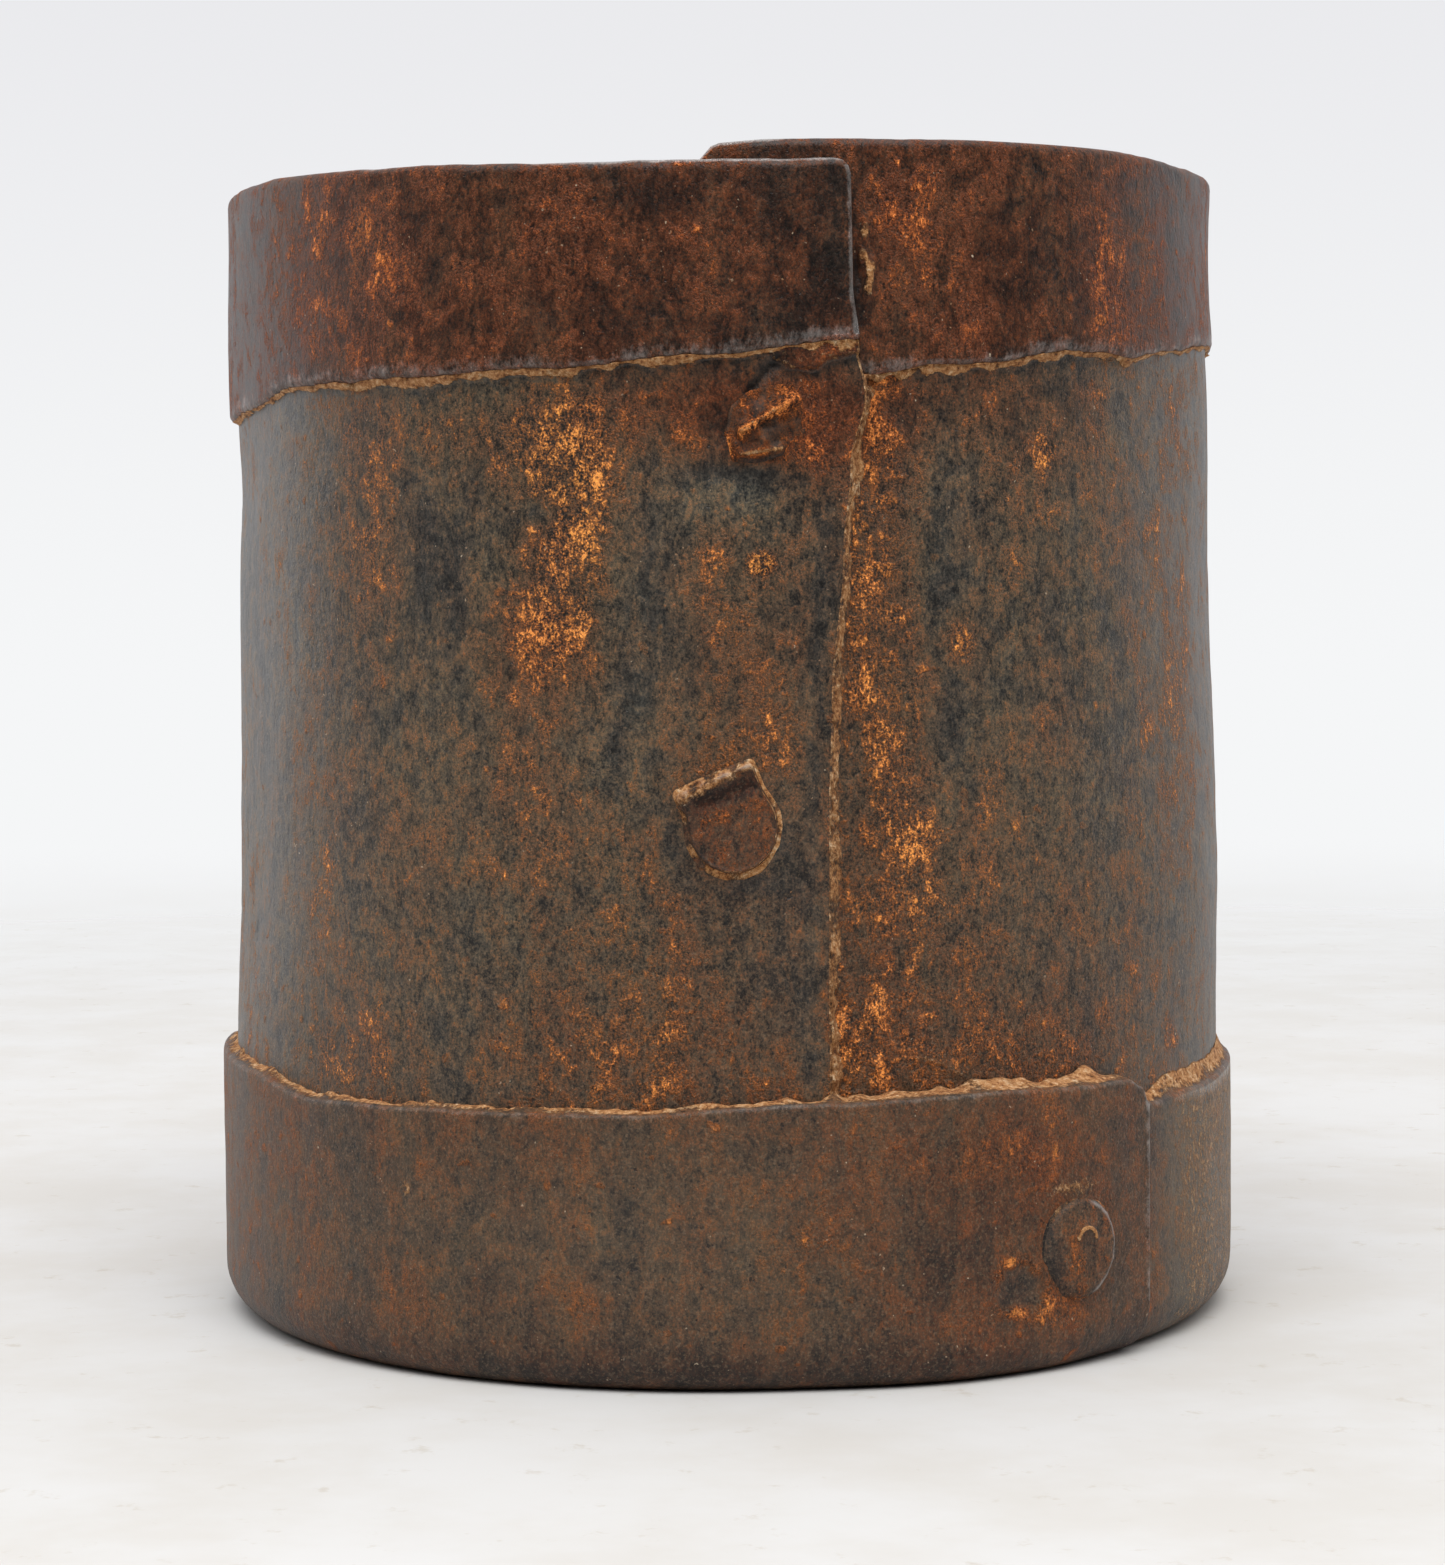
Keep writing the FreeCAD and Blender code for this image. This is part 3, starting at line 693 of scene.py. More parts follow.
def band_piece(material):
    angles = columns(BAND_UNDER_END, BAND_OVER_END, 1.0, BAND_COLUMNS)
    angles = np.sort(np.concatenate([angles, [TAB_START - 0.02, TAB_START]]))
    a = angles[:, None]
    runs, ledge_p, skin_z, face_z = band_runs(angles)
    marks = [plain_marks(run[1], 0.50) for run in runs]
    ledge_m, shoulder_m, face_m, heel_m, neck_m = marks[0], marks[1], marks[2], marks[3], marks[-1]
    ledge_m[..., 0] = 0.78 - 0.36 * ACROSS ** 3 + 0.25 * noise(ledge_p, 1.6, 233)
    shoulder_m[..., 0] = 0.25
    # Painted highlights: bare metal on the rounded upper edge, just below it, and along the over-lapping
    # end's edge.
    shoulder_m[..., 1] = 0.30
    lap_end = 1 - smooth(np.radians(BAND_OVER_END - a) * BAND_R / 1.1)
    rubbed_and_highlight = 1 - smooth((band_top(a) - BAND_LIP - face_z) / 0.9)
    face_m[..., 1] = 0.22 * rubbed_and_highlight + 0.40 * lap_end * (a > OVER_END_FROM)
    neck_m[..., 0] = 1.0

    # Face and heel share one skin of rust.
    flake = band_flake(a, skin_z)
    flake_side = smooth(0.5 + 0.8 * lumps(a, skin_z, 2.2, 232))
    crust = (0.8 * spot(a, skin_z, (-35.2, 14.4), 0.75, 0.6) + 0.44 * right_side(a, 48, 14)
             + 0.58 * spot(a, skin_z, (FRONT_RIVET[0] - 1, FRONT_RIVET[1] + 4.7), 3.6, 0.9))
    # The rust is lowered towards the bottom edge: painted shade where the heel turns under.
    rust = (patches(BAND_RUST_PATCHES, a, skin_z) + 0.40 * bell((flake - 0.36) / 0.13) * flake_side
            - 0.10 * smooth((flake - 0.45) / 0.1) - 0.17 * (1 - smooth((skin_z - 0.5) / 5.0)))
    red = (patches(BAND_RED_PATCHES, a, skin_z) + 0.25 * (1 - smooth((skin_z - 1) / 4))
           - 0.50 * right_side(a, 48, 12))
    # Painted sheen: bare metal on the right side of the band.
    wear_and_sheen = 0.34 * right_side(a, 47, 22) + 0 * skin_z
    steps = face_m.shape[1]
    for skin, part in ((face_m, slice(0, steps)), (heel_m, slice(steps, None))):
        for channel, value in enumerate((crust, wear_and_sheen, rust, red)):
            skin[..., channel] += value[:, part]
    return swept_sheet("foot_band_look", angles, runs, marks, material)


# ---------------------------------------------------------------- floor plate

FLOOR_HEEL = 0.85           # rounding of the plate's lower edge
FLOOR_TURNS = 180


def floor_piece(material):
    """The floor plate: hammered, dished up a little, and crusted where the foot band clamps it."""
    low, high = FLOOR_LOW[2], FLOOR_HIGH[2]
    heel = np.radians(np.linspace(-80, 0, 6))
    under = np.linspace(0.4, FLOOR_R - FLOOR_HEEL, 60)
    over = np.linspace(FLOOR_R - 0.1, 0.4, 70)
    radius = np.concatenate([under, FLOOR_R - FLOOR_HEEL * (1 - np.cos(heel)), [FLOOR_R], over])[:, None]
    heel_z = low + FLOOR_HEEL * (1 + np.sin(heel))
    height = np.concatenate([0 * under + low, heel_z, [high - 0.1], 0 * over + high])
    turn = np.linspace(0, 2 * math.pi, FLOOR_TURNS, endpoint=False)
    p = np.stack([radius * np.cos(turn), radius * np.sin(turn), height[:, None] + 0 * turn], axis=-1)
    marks = plain_marks(p[..., 0], 0.5)
    marks[..., 0] = 0.75 * smooth((radius - 37.5) / 3.5) * (height[:, None] > low + 0.5)
    hammered = 0.09 * noise(p, 7.0, 301) + 0.05 * fractal(p, 2.2, 302, 3)
    p[..., 2] += smooth((39.5 - radius) / 3) * hammered + 0.22 * smooth((34 - radius) / 22)
    mesh_piece("floor_plate_look", p, marks, material)


# ---------------------------------------------------------------- rivets

BUTTON_R, BUTTON_T = 3.2, 0.9       # guessed low button inside the cup
SHANK_R = 1.55
TURN_STEPS = 144
INSIDE, SHANK, SKIRT, HEAD = range(4)


def reach_of(points):
    """Reach from the centre to a closed outline of (u, v) points at even turns, with corners softened."""
    points = np.array(sorted(points, key=lambda p: math.atan2(p[1], p[0])), float)
    turns = np.arctan2(points[:, 1], points[:, 0])
    turn = np.linspace(0, 2 * math.pi, TURN_STEPS, endpoint=False)
    after = np.searchsorted(turns, (turn + math.pi) % (2 * math.pi) - math.pi) % len(points)
    p, q = points[after - 1], points[after]
    cross = p[:, 0] * q[:, 1] - p[:, 1] * q[:, 0]
    reach = cross / ((q[:, 1] - p[:, 1]) * np.cos(turn) - (q[:, 0] - p[:, 0]) * np.sin(turn))
    return sum(np.roll(reach, shift) for shift in (-1, 0, 1)) / 3


def round_head(radius):
    turns = [math.radians(20 * k) for k in range(18)]
    return [(radius * math.cos(t), radius * math.sin(t)) for t in turns]


def rivet_piece(node, place, outline, head, marks_of, outer, inner, material, skirt=(0.0, 0.0)):
    """One hammered rivet, from the middle of its inner button to the middle of its outer head.

    head(u, v, share) is the height of the outer head, share being 1 at its outline. outer(angle, height) and
    inner(angle, height) are the metal's faces. skirt is the rust fillet's width above and below the head.
    """
    turn = np.linspace(0, 2 * math.pi, TURN_STEPS, endpoint=False)
    reach = reach_of(outline)
    skirt = skirt[1] + (skirt[0] - skirt[1]) * smooth(0.5 + 0.5 * np.sin(turn))
    rows = [(BUTTON_R * share + 0 * turn, -BUTTON_T * (1 - 0.55 * share ** 4), INSIDE)
            for share in np.linspace(0.03, 1.0, 12)]
    rows += [(r + 0 * turn, w, INSIDE)
             for r, w in ((BUTTON_R, -0.25), (BUTTON_R - 0.1, -0.03), (SHANK_R, -0.03))]
    edge = np.clip(head(reach * np.cos(turn), reach * np.sin(turn), 1.0), 0.0, 0.16)
    rows += [(SHANK_R + 0 * turn, -0.05, SHANK), (reach + skirt, -0.04, SKIRT),
             (reach + 0.45 * skirt, 0.45 * edge, SKIRT), (reach + 0.02, edge, SKIRT)]
    rows += [(reach * share, None, HEAD) for share in (1.0, 0.985, 0.965, *np.linspace(0.94, 0.02, 32))]
    points, marks = [], []
    for r, w, kind in rows:
        u, v = r * np.cos(turn), r * np.sin(turn)
        share = r / reach
        angle, z = place[0] + np.degrees(u / RIVET_R), place[1] + v
        if kind == HEAD:
            w = np.maximum(head(u, v, share), 0.0)
        metal = inner if kind == INSIDE else outer
        radius = metal(angle, z) + w
        a = np.radians(angle)
        points.append(np.stack([radius * np.sin(a), -radius * np.cos(a), z], axis=-1))
        marks.append(marks_of(u, v, share, kind) if kind >= SKIRT else plain_marks(u))
    mesh_piece(node + "_look", np.array(points), np.array(marks), material)


def wall_out_at(angle, z):
    """Outermost wall surface near the seam: the over-lapping end."""
    return wall_outer(angle + 360, z)


def wall_in_at(angle, z):
    """Innermost wall surface near the seam."""
    return wall_outer(angle, z) - WALL_T


def grain_of(u, v, size, seed):
    return noise(np.stack([u, v, 0 * u], axis=-1), size, seed)


def middle_rivet(material):
    """Nearly flush head: a disc with one straight burr along its upper left and a pointed corner."""
    burr_left, burr_right = (-4.4, 2.45), (1.42, 4.85)
    outline = round_head(3.4)[:3] + [(2.15, 2.9), burr_right, burr_left, (-3.55, 0.9)] + round_head(3.4)[9:]

    def head(u, v, share):
        burr = ridge(u, v, (-4.0, 2.35), (1.1, 4.5), 0.54 - 0.08 * u)
        shadow = ridge(u, v, (-2.2, 1.75), (1.1, 3.2), 0.60)
        body = 0.42 + 0.07 * grain_of(u, v, 1.6, 401) + 0.05 * grain_of(u, v, 0.6, 402)
        rim = 0.10 * bell((share - 0.95) / 0.03) * (1 - burr)
        edge = 1 - 0.60 * smooth((share - 0.965) / 0.035)
        ragged = 0.40 + 0.22 * grain_of(u, v, 0.8, 404) + 0.12 * grain_of(u, v, 0.4, 406)
        return (body + rim - 0.18 * shadow) * edge + ragged * burr

    def marks_of(u, v, share, kind):
        marks = plain_marks(u, 0.65)
        burr = ridge(u, v, (-4.3, 2.45), (1.2, 4.75), 0.62 - 0.08 * u)
        burr = burr * (0.95 + 0.5 * grain_of(u, v, 0.5, 405))
        low_side = smooth((-v - 0.2) / 1.8)
        corner = smooth((u - 0.9) / 0.5) * smooth((v - 1.9) / 0.6)
        if kind == SKIRT:
            heaped = np.maximum(low_side * smooth((u + 2.6) / 1.5), corner)
            marks[..., 0] = 0.30 + 0.50 * grain_of(u, v, 0.9, 403) + 0.45 * heaped
        rim = bell((share - 0.97) / 0.03) * (0.35 + 0.65 * smooth((u + 2.4) / 2.0))
        marks[..., 0] = np.maximum.reduce([marks[..., 0], 0.80 * burr, 0.6 * rim])
        marks[..., 1] = 0.30 * burr + 0.22 * rim
        shadow = ridge(u, v, (-2.4, 1.75), (1.1, 3.2), 0.7)
        marks[..., 2] += 0.12 * ridge(u, v, (-2.2, 0.7), (1.8, 1.7), 0.6) - 0.20 * shadow - 0.10
        marks[..., 3] += 0.35 * shadow
        return marks

    rivet_piece("seam_rivet_middle", (0.8, 42.1), outline, head, marks_of, wall_out_at, wall_in_at, material,
                (0.45, 0.75))


def upper_rivet(material):
    """Crushed head: a slanting ridge that melts into the sheet above, and a sharp lower lip."""
    outline = [(3.9, 0.9), (3.6, 2.6), (1.8, 2.9), (-0.9, 2.3), (-2.2, 1.2), (-2.5, -0.6), (-2.1, -2.4),
               (-0.2, -2.5), (1.5, -2.05), (2.6, -1.2)]
    crest_low, crest_high = (-1.5, -0.45), (3.0, 2.2)
    lip_left, lip_right = (-1.7, -2.15), (1.4, -1.75)

    def head(u, v, share):
        mound = 0.50 * ridge(u, v, crest_low, crest_high, 1.0)
        mound = mound + 0.28 * ridge(u, v, crest_low, crest_high, 0.40)
        shelf = 0.36 * smooth((-v + 0.6) / 1.2) * smooth((2.0 - u) / 0.8)
        rough = 0.18 * grain_of(u, v, 1.2, 411) + 0.18 * grain_of(u, v, 0.55, 412)
        sharp = smooth((-v - 0.9) / 0.5)            # only the lower edge stands proud
        melt = (1 - sharp) * (1 - smooth((share - 0.55) / 0.40))
        melt = melt + sharp * (1 - 0.6 * smooth((share - 0.90) / 0.10))
        return (0.10 + mound + shelf + rough) * melt + 0.22 * ridge(u, v, lip_left, lip_right, 0.28)

    def marks_of(u, v, share, kind):
        marks = plain_marks(u, 0.80)
        crest = ridge(u, v, crest_low, (1.8, 1.5), 0.42)
        lip = ridge(u, v, lip_left, lip_right, 0.24)
        face = ridge(u, v, (-1.4, -1.65), (1.2, -1.25), 0.30)
        left = ridge(u, v, (-3.2, -0.9), (-2.1, -2.4), 0.6)
        # On the crest, crust and higher rust are partly orange-tan crust and partly a painted highlight;
        # lower rust on the faces below the crest is painted shade.
        marks[..., 0] = 0.56 * lip + 0.42 * crest + 0.16 * grain_of(u, v, 0.7, 413)
        marks[..., 1] = 0.12 * face
        marks[..., 2] += 0.34 * crest + 0.08 - 0.16 * face - 0.12 * ridge(u, v, (0.4, -0.6), (2.6, 0.3), 0.5)
        if kind == SKIRT:
            # Painted shade in the skirt below the lower lip and on the left side; lighter rust at the lower
            # left.
            marks[..., 2] += 0.25 * left - 0.24 * smooth((-v - 1.9) / 0.4) - 0.16 * (u < -1.8) * (v > -0.4)
        return marks

    rivet_piece("seam_rivet_upper", (4.1, 71.75), outline, head, marks_of, wall_out_at, wall_in_at, material,
                (0.25, 0.45))


def lower_rivet(material):
    """Hidden under the foot band: flush outside, a button inside."""
    def head(u, v, share):
        return 0.0 * u

    def marks_of(u, v, share, kind):
        return plain_marks(u)

    def sunk(angle, z):
        return wall_out_at(angle, z) - 0.2

    rivet_piece("seam_rivet_lower", place_of("seam_rivet_lower"), round_head(1.9), head, marks_of, sunk,
                wall_in_at, material)


def band_dent(angle, z, place):
    """The foot band is beaten in round its front rivet."""
    return -0.28 * spot(angle, z, (place[0] - 1, place[1] + 1), 8.5, 7.0)


def band_rivet(node, seed, material):
    place = place_of(node)
    in_lap = 0 < place[0] < BAND_OVER_END - 360
    hook = (0.25, 0.75)

    def hook_ridge(u, v):
        far = np.hypot(u - hook[0], v - hook[1])
        upper = smooth((np.sin(np.arctan2(v - hook[1], u - hook[0])) + 0.35) / 0.5)
        return bell((far - 0.85) / 0.19) * upper

    def head(u, v, share):
        dome = 0.68 - 0.24 * share ** 2 - 0.12 * smooth((-u - 1.0) / 2.5)
        edge = 1 - 0.62 * smooth((share - 0.90) / 0.10)
        rough = 0.06 * grain_of(u, v, 1.3, seed + 1) + 0.03 * grain_of(u, v, 0.5, seed + 2)
        return (dome + rough) * edge + 0.14 * hook_ridge(u, v)

    def marks_of(u, v, share, kind):
        marks = plain_marks(u, 0.6)
        # Painted shade on the head's left side.
        marks[..., 2] -= 0.06 + 0.16 * smooth((-u - 1.0) / 2.0)
        marks[..., 0] = hook_ridge(u, v)
        # Painted highlight: bare metal rim on the head's right side.
        rim = bell((share - 0.93) / 0.09) * smooth((u + 0.3) / 2)
        marks[..., 1] = 0.62 * rim + 0.30 * hook_ridge(u, v)
        if kind == SKIRT:
            marks[..., 0] = 0.45 * smooth((v - 1.6) / 1.2)
            # Painted shade in the skirt on the left side.
            marks[..., 2] += 0.15 - 0.35 * smooth((-u - 1) / 2)
        return marks

    def out_at(angle, z):
        return band_outer(angle + 360) + band_dent(angle, z, place) if in_lap else band_outer(angle)

    outline = [(0.97 * u, 1.06 * v) for u, v in round_head(3.65)]
    rivet_piece(node, place, outline, head, marks_of, out_at, wall_in_at, material, (0.45, 0.25))


# ---------------------------------------------------------------- materials

def linear(red, green, blue):
    """Scene colour of a colour given as ordinary 0..255 values."""
    def one(c):
        c /= 255
        return c / 12.92 if c <= 0.04045 else ((c + 0.055) / 1.055) ** 2.4
    return one(red), one(green), one(blue), 1.0


class Nodes:
    """Short way to build the node tree of a material or a world."""

    def __init__(self, owner):
        owner.use_nodes = True
        self.tree = owner.node_tree
        self.tree.nodes.clear()

    def new(self, kind):
        return self.tree.nodes.new("ShaderNode" + kind)

    def set(self, socket, value):
        if isinstance(value, bpy.types.NodeSocket):
            self.tree.links.new(value, socket)
        else:
            socket.default_value = value

    def maths(self, operation, a, b=0.0):
        node = self.new("Math")
        node.operation = operation
        self.set(node.inputs[0], a)
        self.set(node.inputs[1], b)
        return node.outputs[0]

    def product(self, a, b):
        return self.maths("MULTIPLY", a, b)

    def total(self, start, *terms):
        """Start value plus (value, weight) pairs."""
        for value, weight in terms:
            start = self.maths("ADD", start, self.product(value, weight))
        return start

    def swings(self, start, *terms):
        """Start value plus (noise, weight) pairs, each noise swinging round 0."""
        return self.total(start - sum(weight for noise, weight in terms) / 2, *terms)

    def span(self, value, low, high):
        """Soft step: 0 at low, 1 at high."""
        node = self.new("MapRange")
        node.interpolation_type = "SMOOTHSTEP"
        self.set(node.inputs["Value"], value)
        node.inputs["From Min"].default_value = low
        node.inputs["From Max"].default_value = high
        return node.outputs["Result"]

    def mix(self, share, a, b):
        node = self.new("Mix")
        node.data_type = "RGBA"
        self.set(node.inputs["Factor"], share)
        colour_a, colour_b = [socket for socket in node.inputs if socket.type == "RGBA"]
        self.set(colour_a, a)
        self.set(colour_b, b)
        return [socket for socket in node.outputs if socket.type == "RGBA"][0]

    def brighten(self, colour, factor):
        node = self.new("VectorMath")
        node.operation = "SCALE"
        self.set(node.inputs[0], colour)
        self.set(node.inputs["Scale"], factor)
        return node.outputs[0]

    def noise(self, vector, size, detail, roughness, twist=0.0):
        """Noise in 0..1 whose lumps are about size units of the vector."""
        node = self.new("TexNoise")
        self.set(node.inputs["Vector"], vector)
        node.inputs["Scale"].default_value = 1 / size
        node.inputs["Detail"].default_value = detail
        node.inputs["Roughness"].default_value = roughness
        node.inputs["Distortion"].default_value = twist
        return node.outputs["Fac"]

    def stretch(self, vector, x, y, z, shift=0.0):
        node = self.new("Mapping")
        self.set(node.inputs["Vector"], vector)
        node.inputs["Scale"].default_value = (x, y, z)
        node.inputs["Location"].default_value = (shift, shift * 0.7, shift * 1.3)
        return node.outputs["Vector"]

    def ramp(self, value, *stops):
        node = self.new("ValToRGB")
        self.set(node.inputs["Fac"], value)
        elements = node.color_ramp.elements
        while len(elements) < len(stops):
            elements.new(0.5)
        for element, (position, colour) in zip(elements, stops):
            element.position = position
            element.color = colour
        return node.outputs["Color"]


# From sound mill scale to bright rust, for the grey-brown wall and for the redder hem, band and rivets.
SCALE_TO_RUST = ((0.00, linear(38, 41, 41)), (0.26, linear(66, 66, 60)), (0.44, linear(92, 81, 63)),
                 (0.60, linear(112, 79, 47)), (0.78, linear(148, 92, 42)), (1.00, linear(204, 134, 60)))
RED_TO_RUST = ((0.00, linear(24, 13, 9)), (0.26, linear(49, 27, 17)), (0.44, linear(80, 44, 26)),
               (0.60, linear(108, 56, 28)), (0.78, linear(146, 76, 34)), (1.00, linear(196, 116, 56)))
CRUST = ((0.28, linear(84, 52, 30)), (0.40, linear(158, 104, 60)), (0.56, linear(202, 148, 96)),
         (0.74, linear(234, 202, 162)))
PALE_GRAINS_AND_GLINTS = linear(158, 112, 74), linear(214, 196, 168)
FINE_PALE = linear(148, 124, 98)
FINE_PALE_Z = (0.064, 0.030)         # metres of height between which the fine pale grains thicken: lighter towards the bottom
PIT = linear(28, 23, 20)
# Light grey of bare metal: real wear, and also painted highlights and reflections.
BARE_AND_HIGHLIGHT = linear(176, 172, 168)


def rusted_iron(name, rust, seed, shine, contrast=1.0):
    """Old sheet iron: dark scale, brown and orange rust, tan crust, rubbed metal, painted highlights and
    painted shade, steered by the marks.

    Marks are crust (red), bare worn metal together with painted highlights, sheens and reflections (green),
    rust level (blue, 0.5 is plain; lower values also carry painted shade, and near 0 is painted crevice shade
    down to black) and redness of the rust (alpha).
    """
    material = bpy.data.materials.new(name)
    n = Nodes(material)
    mm = n.stretch(n.new("TexCoord").outputs["Object"], 1 / MM, 1 / MM, 1 / MM, seed * 13.7)
    upright = n.stretch(mm, 1, 1, 0.36)
    places = n.new("SeparateXYZ")
    n.set(places.inputs[0], n.new("TexCoord").outputs["Object"])
    height_up = places.outputs["Z"]
    marks = n.new("Attribute")
    marks.attribute_name = "marks"
    split = n.new("SeparateColor")
    n.set(split.inputs["Color"], marks.outputs["Color"])
    crust, wear_and_sheen, rust_and_shade_mark = split.outputs
    redness = marks.outputs["Alpha"]

    streaks = n.noise(upright, 7.0, 5.0, 0.62, 0.5)
    blotches = n.noise(mm, 2.6, 6.0, 0.66, 0.4)
    mottle = n.noise(n.stretch(mm, 1, 1, 0.7), 0.9, 5.0, 0.72)
    grain = n.noise(n.stretch(mm, 1, 1, 0.6), 0.30, 3.0, 0.75)
    grit = n.noise(mm, 0.16, 2.0, 0.6)
    hues = n.noise(n.stretch(mm, 1, 1, 0.5, 40), 4.5, 6.0, 0.72)
    clumps = n.span(n.noise(n.stretch(mm, 1, 1, 0.7, 20), 2.0, 4.0, 0.66, 1.0), 0.42, 0.58)
    dots = n.span(n.noise(mm, 1.2, 0.0, 0.5), 0.76, 0.84)

    # Scale lies smooth; where rust has started it is granular, dark pits among bright grains.
    level = n.swings(0.5 + rust, (streaks, 0.66 * contrast), (blotches, 0.62 * contrast),
                     (clumps, 0.13 * contrast), (rust_and_shade_mark, 1.0))
    lively = n.span(level, 0.42, 0.80)
    fine = n.swings(0.0, (mottle, 0.8), (grain, 1.0), (grit, 0.9))
    calm = n.total(contrast, (redness, -0.30 * contrast))
    fine = n.product(fine, n.product(calm, n.total(0.38, (lively, 0.80))))
    rusty = n.total(level, (fine, 1.0), (dots, 0.22))
    red = n.total(n.swings(0.0, (hues, 1.1), (grit, 0.9)), (redness, 1.0))
    colour = n.mix(red, n.ramp(rusty, *SCALE_TO_RUST), n.ramp(rusty, *RED_TO_RUST))
    speckle = n.swings(0.0, (grain, 3.8), (grit, 3.6), (mottle, 3.2), (blotches, 1.6), (clumps, 0.30))
    speckle = n.product(speckle, n.product(calm, n.total(0.84, (lively, 0.45))))
    shade = n.total(n.swings(0.98, (streaks, 0.9)), (speckle, 1.0))
    # Painted crevice shade: where the rust mark nears 0 the colour is darkened towards black.
    crevice = n.total(0.32, (n.span(rust_and_shade_mark, 0.03, 0.20), 0.68))
    colour = n.brighten(colour, n.product(n.maths("MAXIMUM", shade, 0.12), crevice))

    # Fine pale grains that thicken lower down, so the colour is lighter towards the bottom; a few larger pale
    # grains, partly painted glints; and dark pits.
    fine_pale = n.span(n.noise(mm, 0.24, 2.0, 0.6), 0.50, 0.72)
    colour = n.mix(n.product(fine_pale, n.total(0.07, (n.span(height_up, *FINE_PALE_Z), 0.25))), colour, FINE_PALE)
    # A few larger pale grains: partly pale rust, partly painted glints.
    pale_and_glint = n.product(n.span(n.noise(mm, 0.34, 1.0, 0.5), 0.73, 0.79), n.span(hues, 0.46, 0.60))
    colour = n.mix(n.product(pale_and_glint, 0.8), colour, n.mix(n.span(mottle, 0.40, 0.60), *PALE_GRAINS_AND_GLINTS))
    pits = n.product(n.span(n.noise(mm, 0.62, 2.0, 0.5), 0.30, 0.24), 0.8)
    colour = n.mix(pits, colour, PIT)

    # Crumbly crust along the edges, and bare metal where hands and edges have rubbed it, which also paints
    # highlights, sheens and reflections where the marks ask for them.
    crumb = n.noise(mm, 0.42, 4.0, 0.72)
    crusty = n.span(n.total(n.swings(-0.5, (crumb, 0.9), (grain, 0.6)), (crust, 1.0)), -0.14, 0.16)
    colour = n.mix(crusty, colour, n.ramp(n.swings(0.5, (crumb, 1.1), (blotches, 0.5)), *CRUST))
    rubbed_and_highlight = n.span(n.total(n.swings(-0.5, (mottle, 0.7), (grain, 0.5)), (wear_and_sheen, 1.0)), -0.25, 0.30)
    colour = n.mix(n.product(rubbed_and_highlight, 0.8), colour, BARE_AND_HIGHLIGHT)

    rough = n.total(shine, (n.span(rusty, 0.30, 0.85), 0.20), (grain, 0.14), (crusty, 0.35), (rubbed_and_highlight, -0.16))
    height = n.swings(0.0, (blotches, 0.10), (mottle, 0.085), (grain, 0.065), (grit, 0.03), (pits, -0.05),
                      (n.product(crusty, crumb), 0.30), (n.product(n.span(rusty, 0.5, 0.8), mottle), 0.24))
    bump = n.new("Bump")
    bump.inputs["Distance"].default_value = MM
    bump.inputs["Strength"].default_value = 1.0
    n.set(bump.inputs["Height"], height)

    shader = n.new("BsdfPrincipled")
    n.set(shader.inputs["Base Color"], colour)
    n.set(shader.inputs["Roughness"], rough)
    n.set(shader.inputs["Metallic"], n.product(rubbed_and_highlight, 0.8))
    n.set(shader.inputs["Normal"], bump.outputs["Normal"])
    n.set(shader.inputs["IOR"], n.total(1.48, (n.span(rusty, 0.6, 0.3), 0.04), (redness, -0.18)))
    n.set(n.new("OutputMaterial").inputs["Surface"], shader.outputs["BSDF"])
    return material


# ---------------------------------------------------------------- stage, light and camera

BACKDROP_LOW = linear(245, 246, 247)
BACKDROP_HIGH = linear(233, 233, 236)
FLOOR_FADE = (0.08, 0.55)       # metres from the cup over which the floor melts into the backdrop


def pale_floor():
    material = bpy.data.materials.new("pale_floor")
    n = Nodes(material)
    where = n.new("TexCoord").outputs["Object"]
    cloud = n.noise(where, 0.03, 5.0, 0.65)
    fleck = n.noise(where, 0.004, 4.0, 0.7)
    colour = n.mix(n.span(cloud, 0.35, 0.65), linear(212, 211, 208), linear(206, 203, 197))
    colour = n.mix(n.product(n.span(fleck, 0.60, 0.72), 0.35), colour, linear(176, 163, 140))
    shader = n.new("BsdfPrincipled")
    n.set(shader.inputs["Base Color"], colour)
    shader.inputs["Roughness"].default_value = 0.8
    far = n.new("VectorMath")
    far.operation = "LENGTH"
    n.set(far.inputs[0], where)
    melt = n.new("MixShader")
    n.set(melt.inputs[0], n.span(far.outputs["Value"], *FLOOR_FADE))
    n.set(melt.inputs[1], shader.outputs["BSDF"])
    n.set(melt.inputs[2], n.new("BsdfTransparent").outputs["BSDF"])
    n.set(n.new("OutputMaterial").inputs["Surface"], melt.outputs["Shader"])
    return material


def stage():
    """A plain round floor that melts into the backdrop in every direction."""
    radius, steps = 1.0, 96
    turns = [2 * math.pi * k / steps for k in range(steps)]
    mesh = bpy.data.meshes.new("floor")
    mesh.from_pydata([(radius * math.cos(t), radius * math.sin(t), -0.00005) for t in turns], [],
                     [tuple(range(steps))])
    floor = bpy.data.objects.new("floor", mesh)
    bpy.context.scene.collection.objects.link(floor)
    mesh.materials.append(pale_floor())


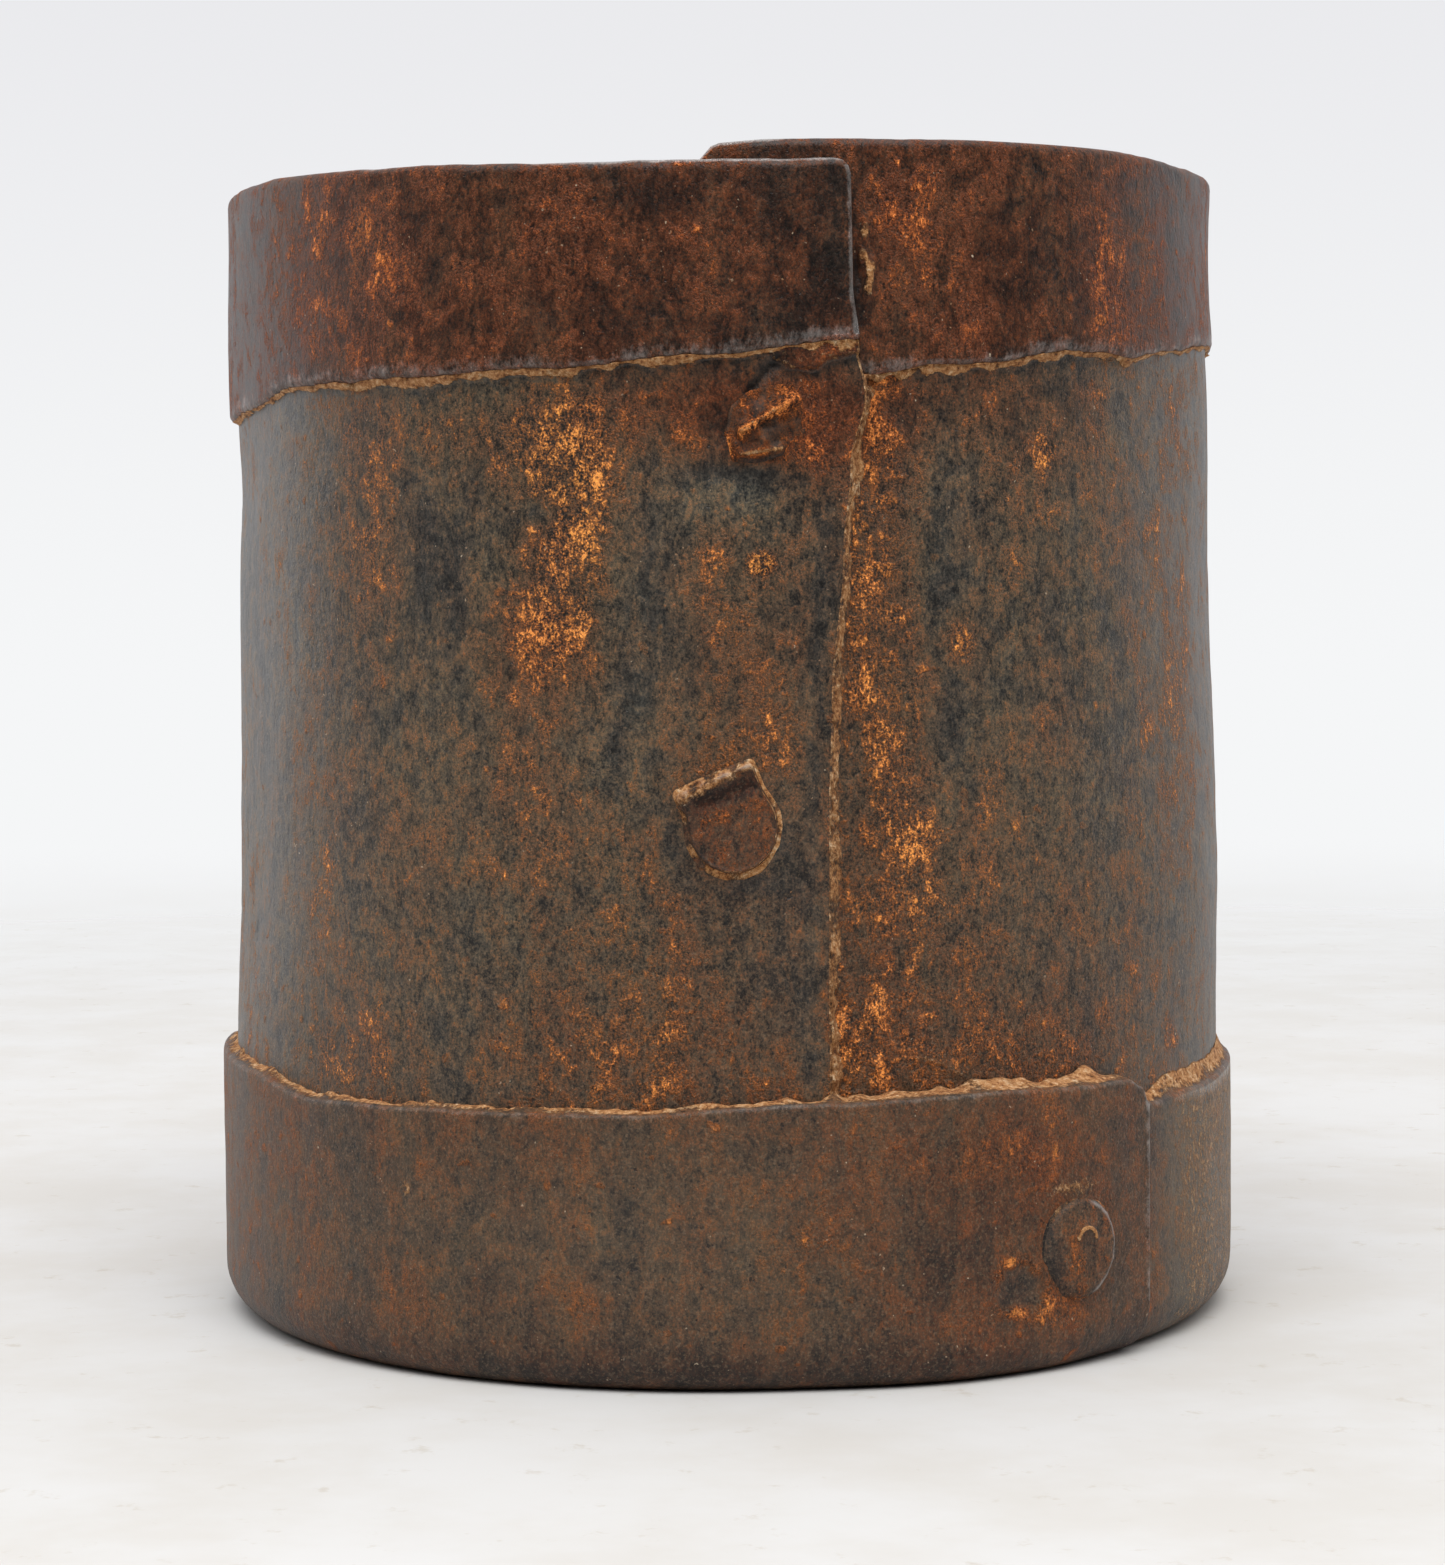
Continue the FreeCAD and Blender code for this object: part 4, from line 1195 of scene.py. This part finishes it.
def studio():
    """White studio: bright overhead, behind and at the sides, dim in front where the camera stands."""
    world = bpy.data.worlds.new("studio")
    bpy.context.scene.world = world
    n = Nodes(world)
    split = n.new("SeparateXYZ")
    n.set(split.inputs[0], n.new("TexCoord").outputs["Generated"])
    away, up = split.outputs[1:]
    seen = n.mix(n.span(up, -0.04, 0.20), BACKDROP_LOW, BACKDROP_HIGH)
    front = n.product(n.span(away, 0.50, -0.55), n.span(up, 0.85, 0.35))
    bright = n.total(0.92, (front, -0.89), (n.span(up, 0.35, 0.95), 0.36))
    lit = n.brighten(linear(246, 246, 250)[:3], bright)
    ray = n.new("LightPath").outputs["Is Camera Ray"]
    background = n.new("Background")
    n.set(background.inputs["Color"], n.mix(ray, lit, seen))
    n.set(n.new("OutputWorld").inputs["Surface"], background.outputs["Background"])


def area_light(name, place, size, power):
    """Soft rectangular light that faces the cup."""
    light = bpy.data.lights.new(name, "AREA")
    light.shape = "RECTANGLE"
    light.size, light.size_y = size
    light.energy = power
    lamp = bpy.data.objects.new(name, light)
    bpy.context.scene.collection.objects.link(lamp)
    lamp.location = place
    lamp.rotation_euler = (Vector((0, 0, 0.05)) - Vector(place)).to_track_quat("-Z", "Y").to_euler()


def camera():
    """Stands level with the upper wall, a little over three cup heights away, and looks slightly down."""
    data = bpy.data.cameras.new("camera")
    data.sensor_width = 36.0
    data.lens = 85.1
    data.clip_start = 0.01
    data.clip_end = 20
    cam = bpy.data.objects.new("camera", data)
    bpy.context.scene.collection.objects.link(cam)
    cam.location = (-0.0002, -0.3139, 0.0607)
    pitch, roll = math.radians(3.2), math.radians(0.47)
    look = Euler((math.pi / 2 - pitch, 0, 0)).to_matrix()
    spin = Euler((0, 0, -roll)).to_matrix()
    cam.rotation_euler = (look @ spin).to_euler()
    bpy.context.scene.camera = cam


# ---------------------------------------------------------------- build

wall_iron = rusted_iron("wall_iron", 0.0, 1, 0.34)
band_iron = rusted_iron("band_iron", -0.02, 2, 0.40, 0.70)
floor_iron = rusted_iron("floor_iron", 0.04, 3, 0.45)
rivet_iron = rusted_iron("rivet_iron", 0.0, 4, 0.56)

wall_piece(wall_iron)
band_piece(band_iron)
floor_piece(floor_iron)
upper_rivet(rivet_iron)
middle_rivet(rivet_iron)
lower_rivet(rivet_iron)
band_rivet("band_rivet_front", 501, rivet_iron)
band_rivet("band_rivet_rear", 511, rivet_iron)

stage()
studio()
area_light("top_light", (0.0, -0.27, 0.56), (0.50, 0.34), 2.6)
area_light("left_light", (-0.50, 0.36, 0.20), (0.22, 0.35), 0.35)
area_light("right_light", (0.50, 0.36, 0.20), (0.22, 0.35), 0.20)
camera()
bpy.context.scene.view_settings.view_transform = "Standard"
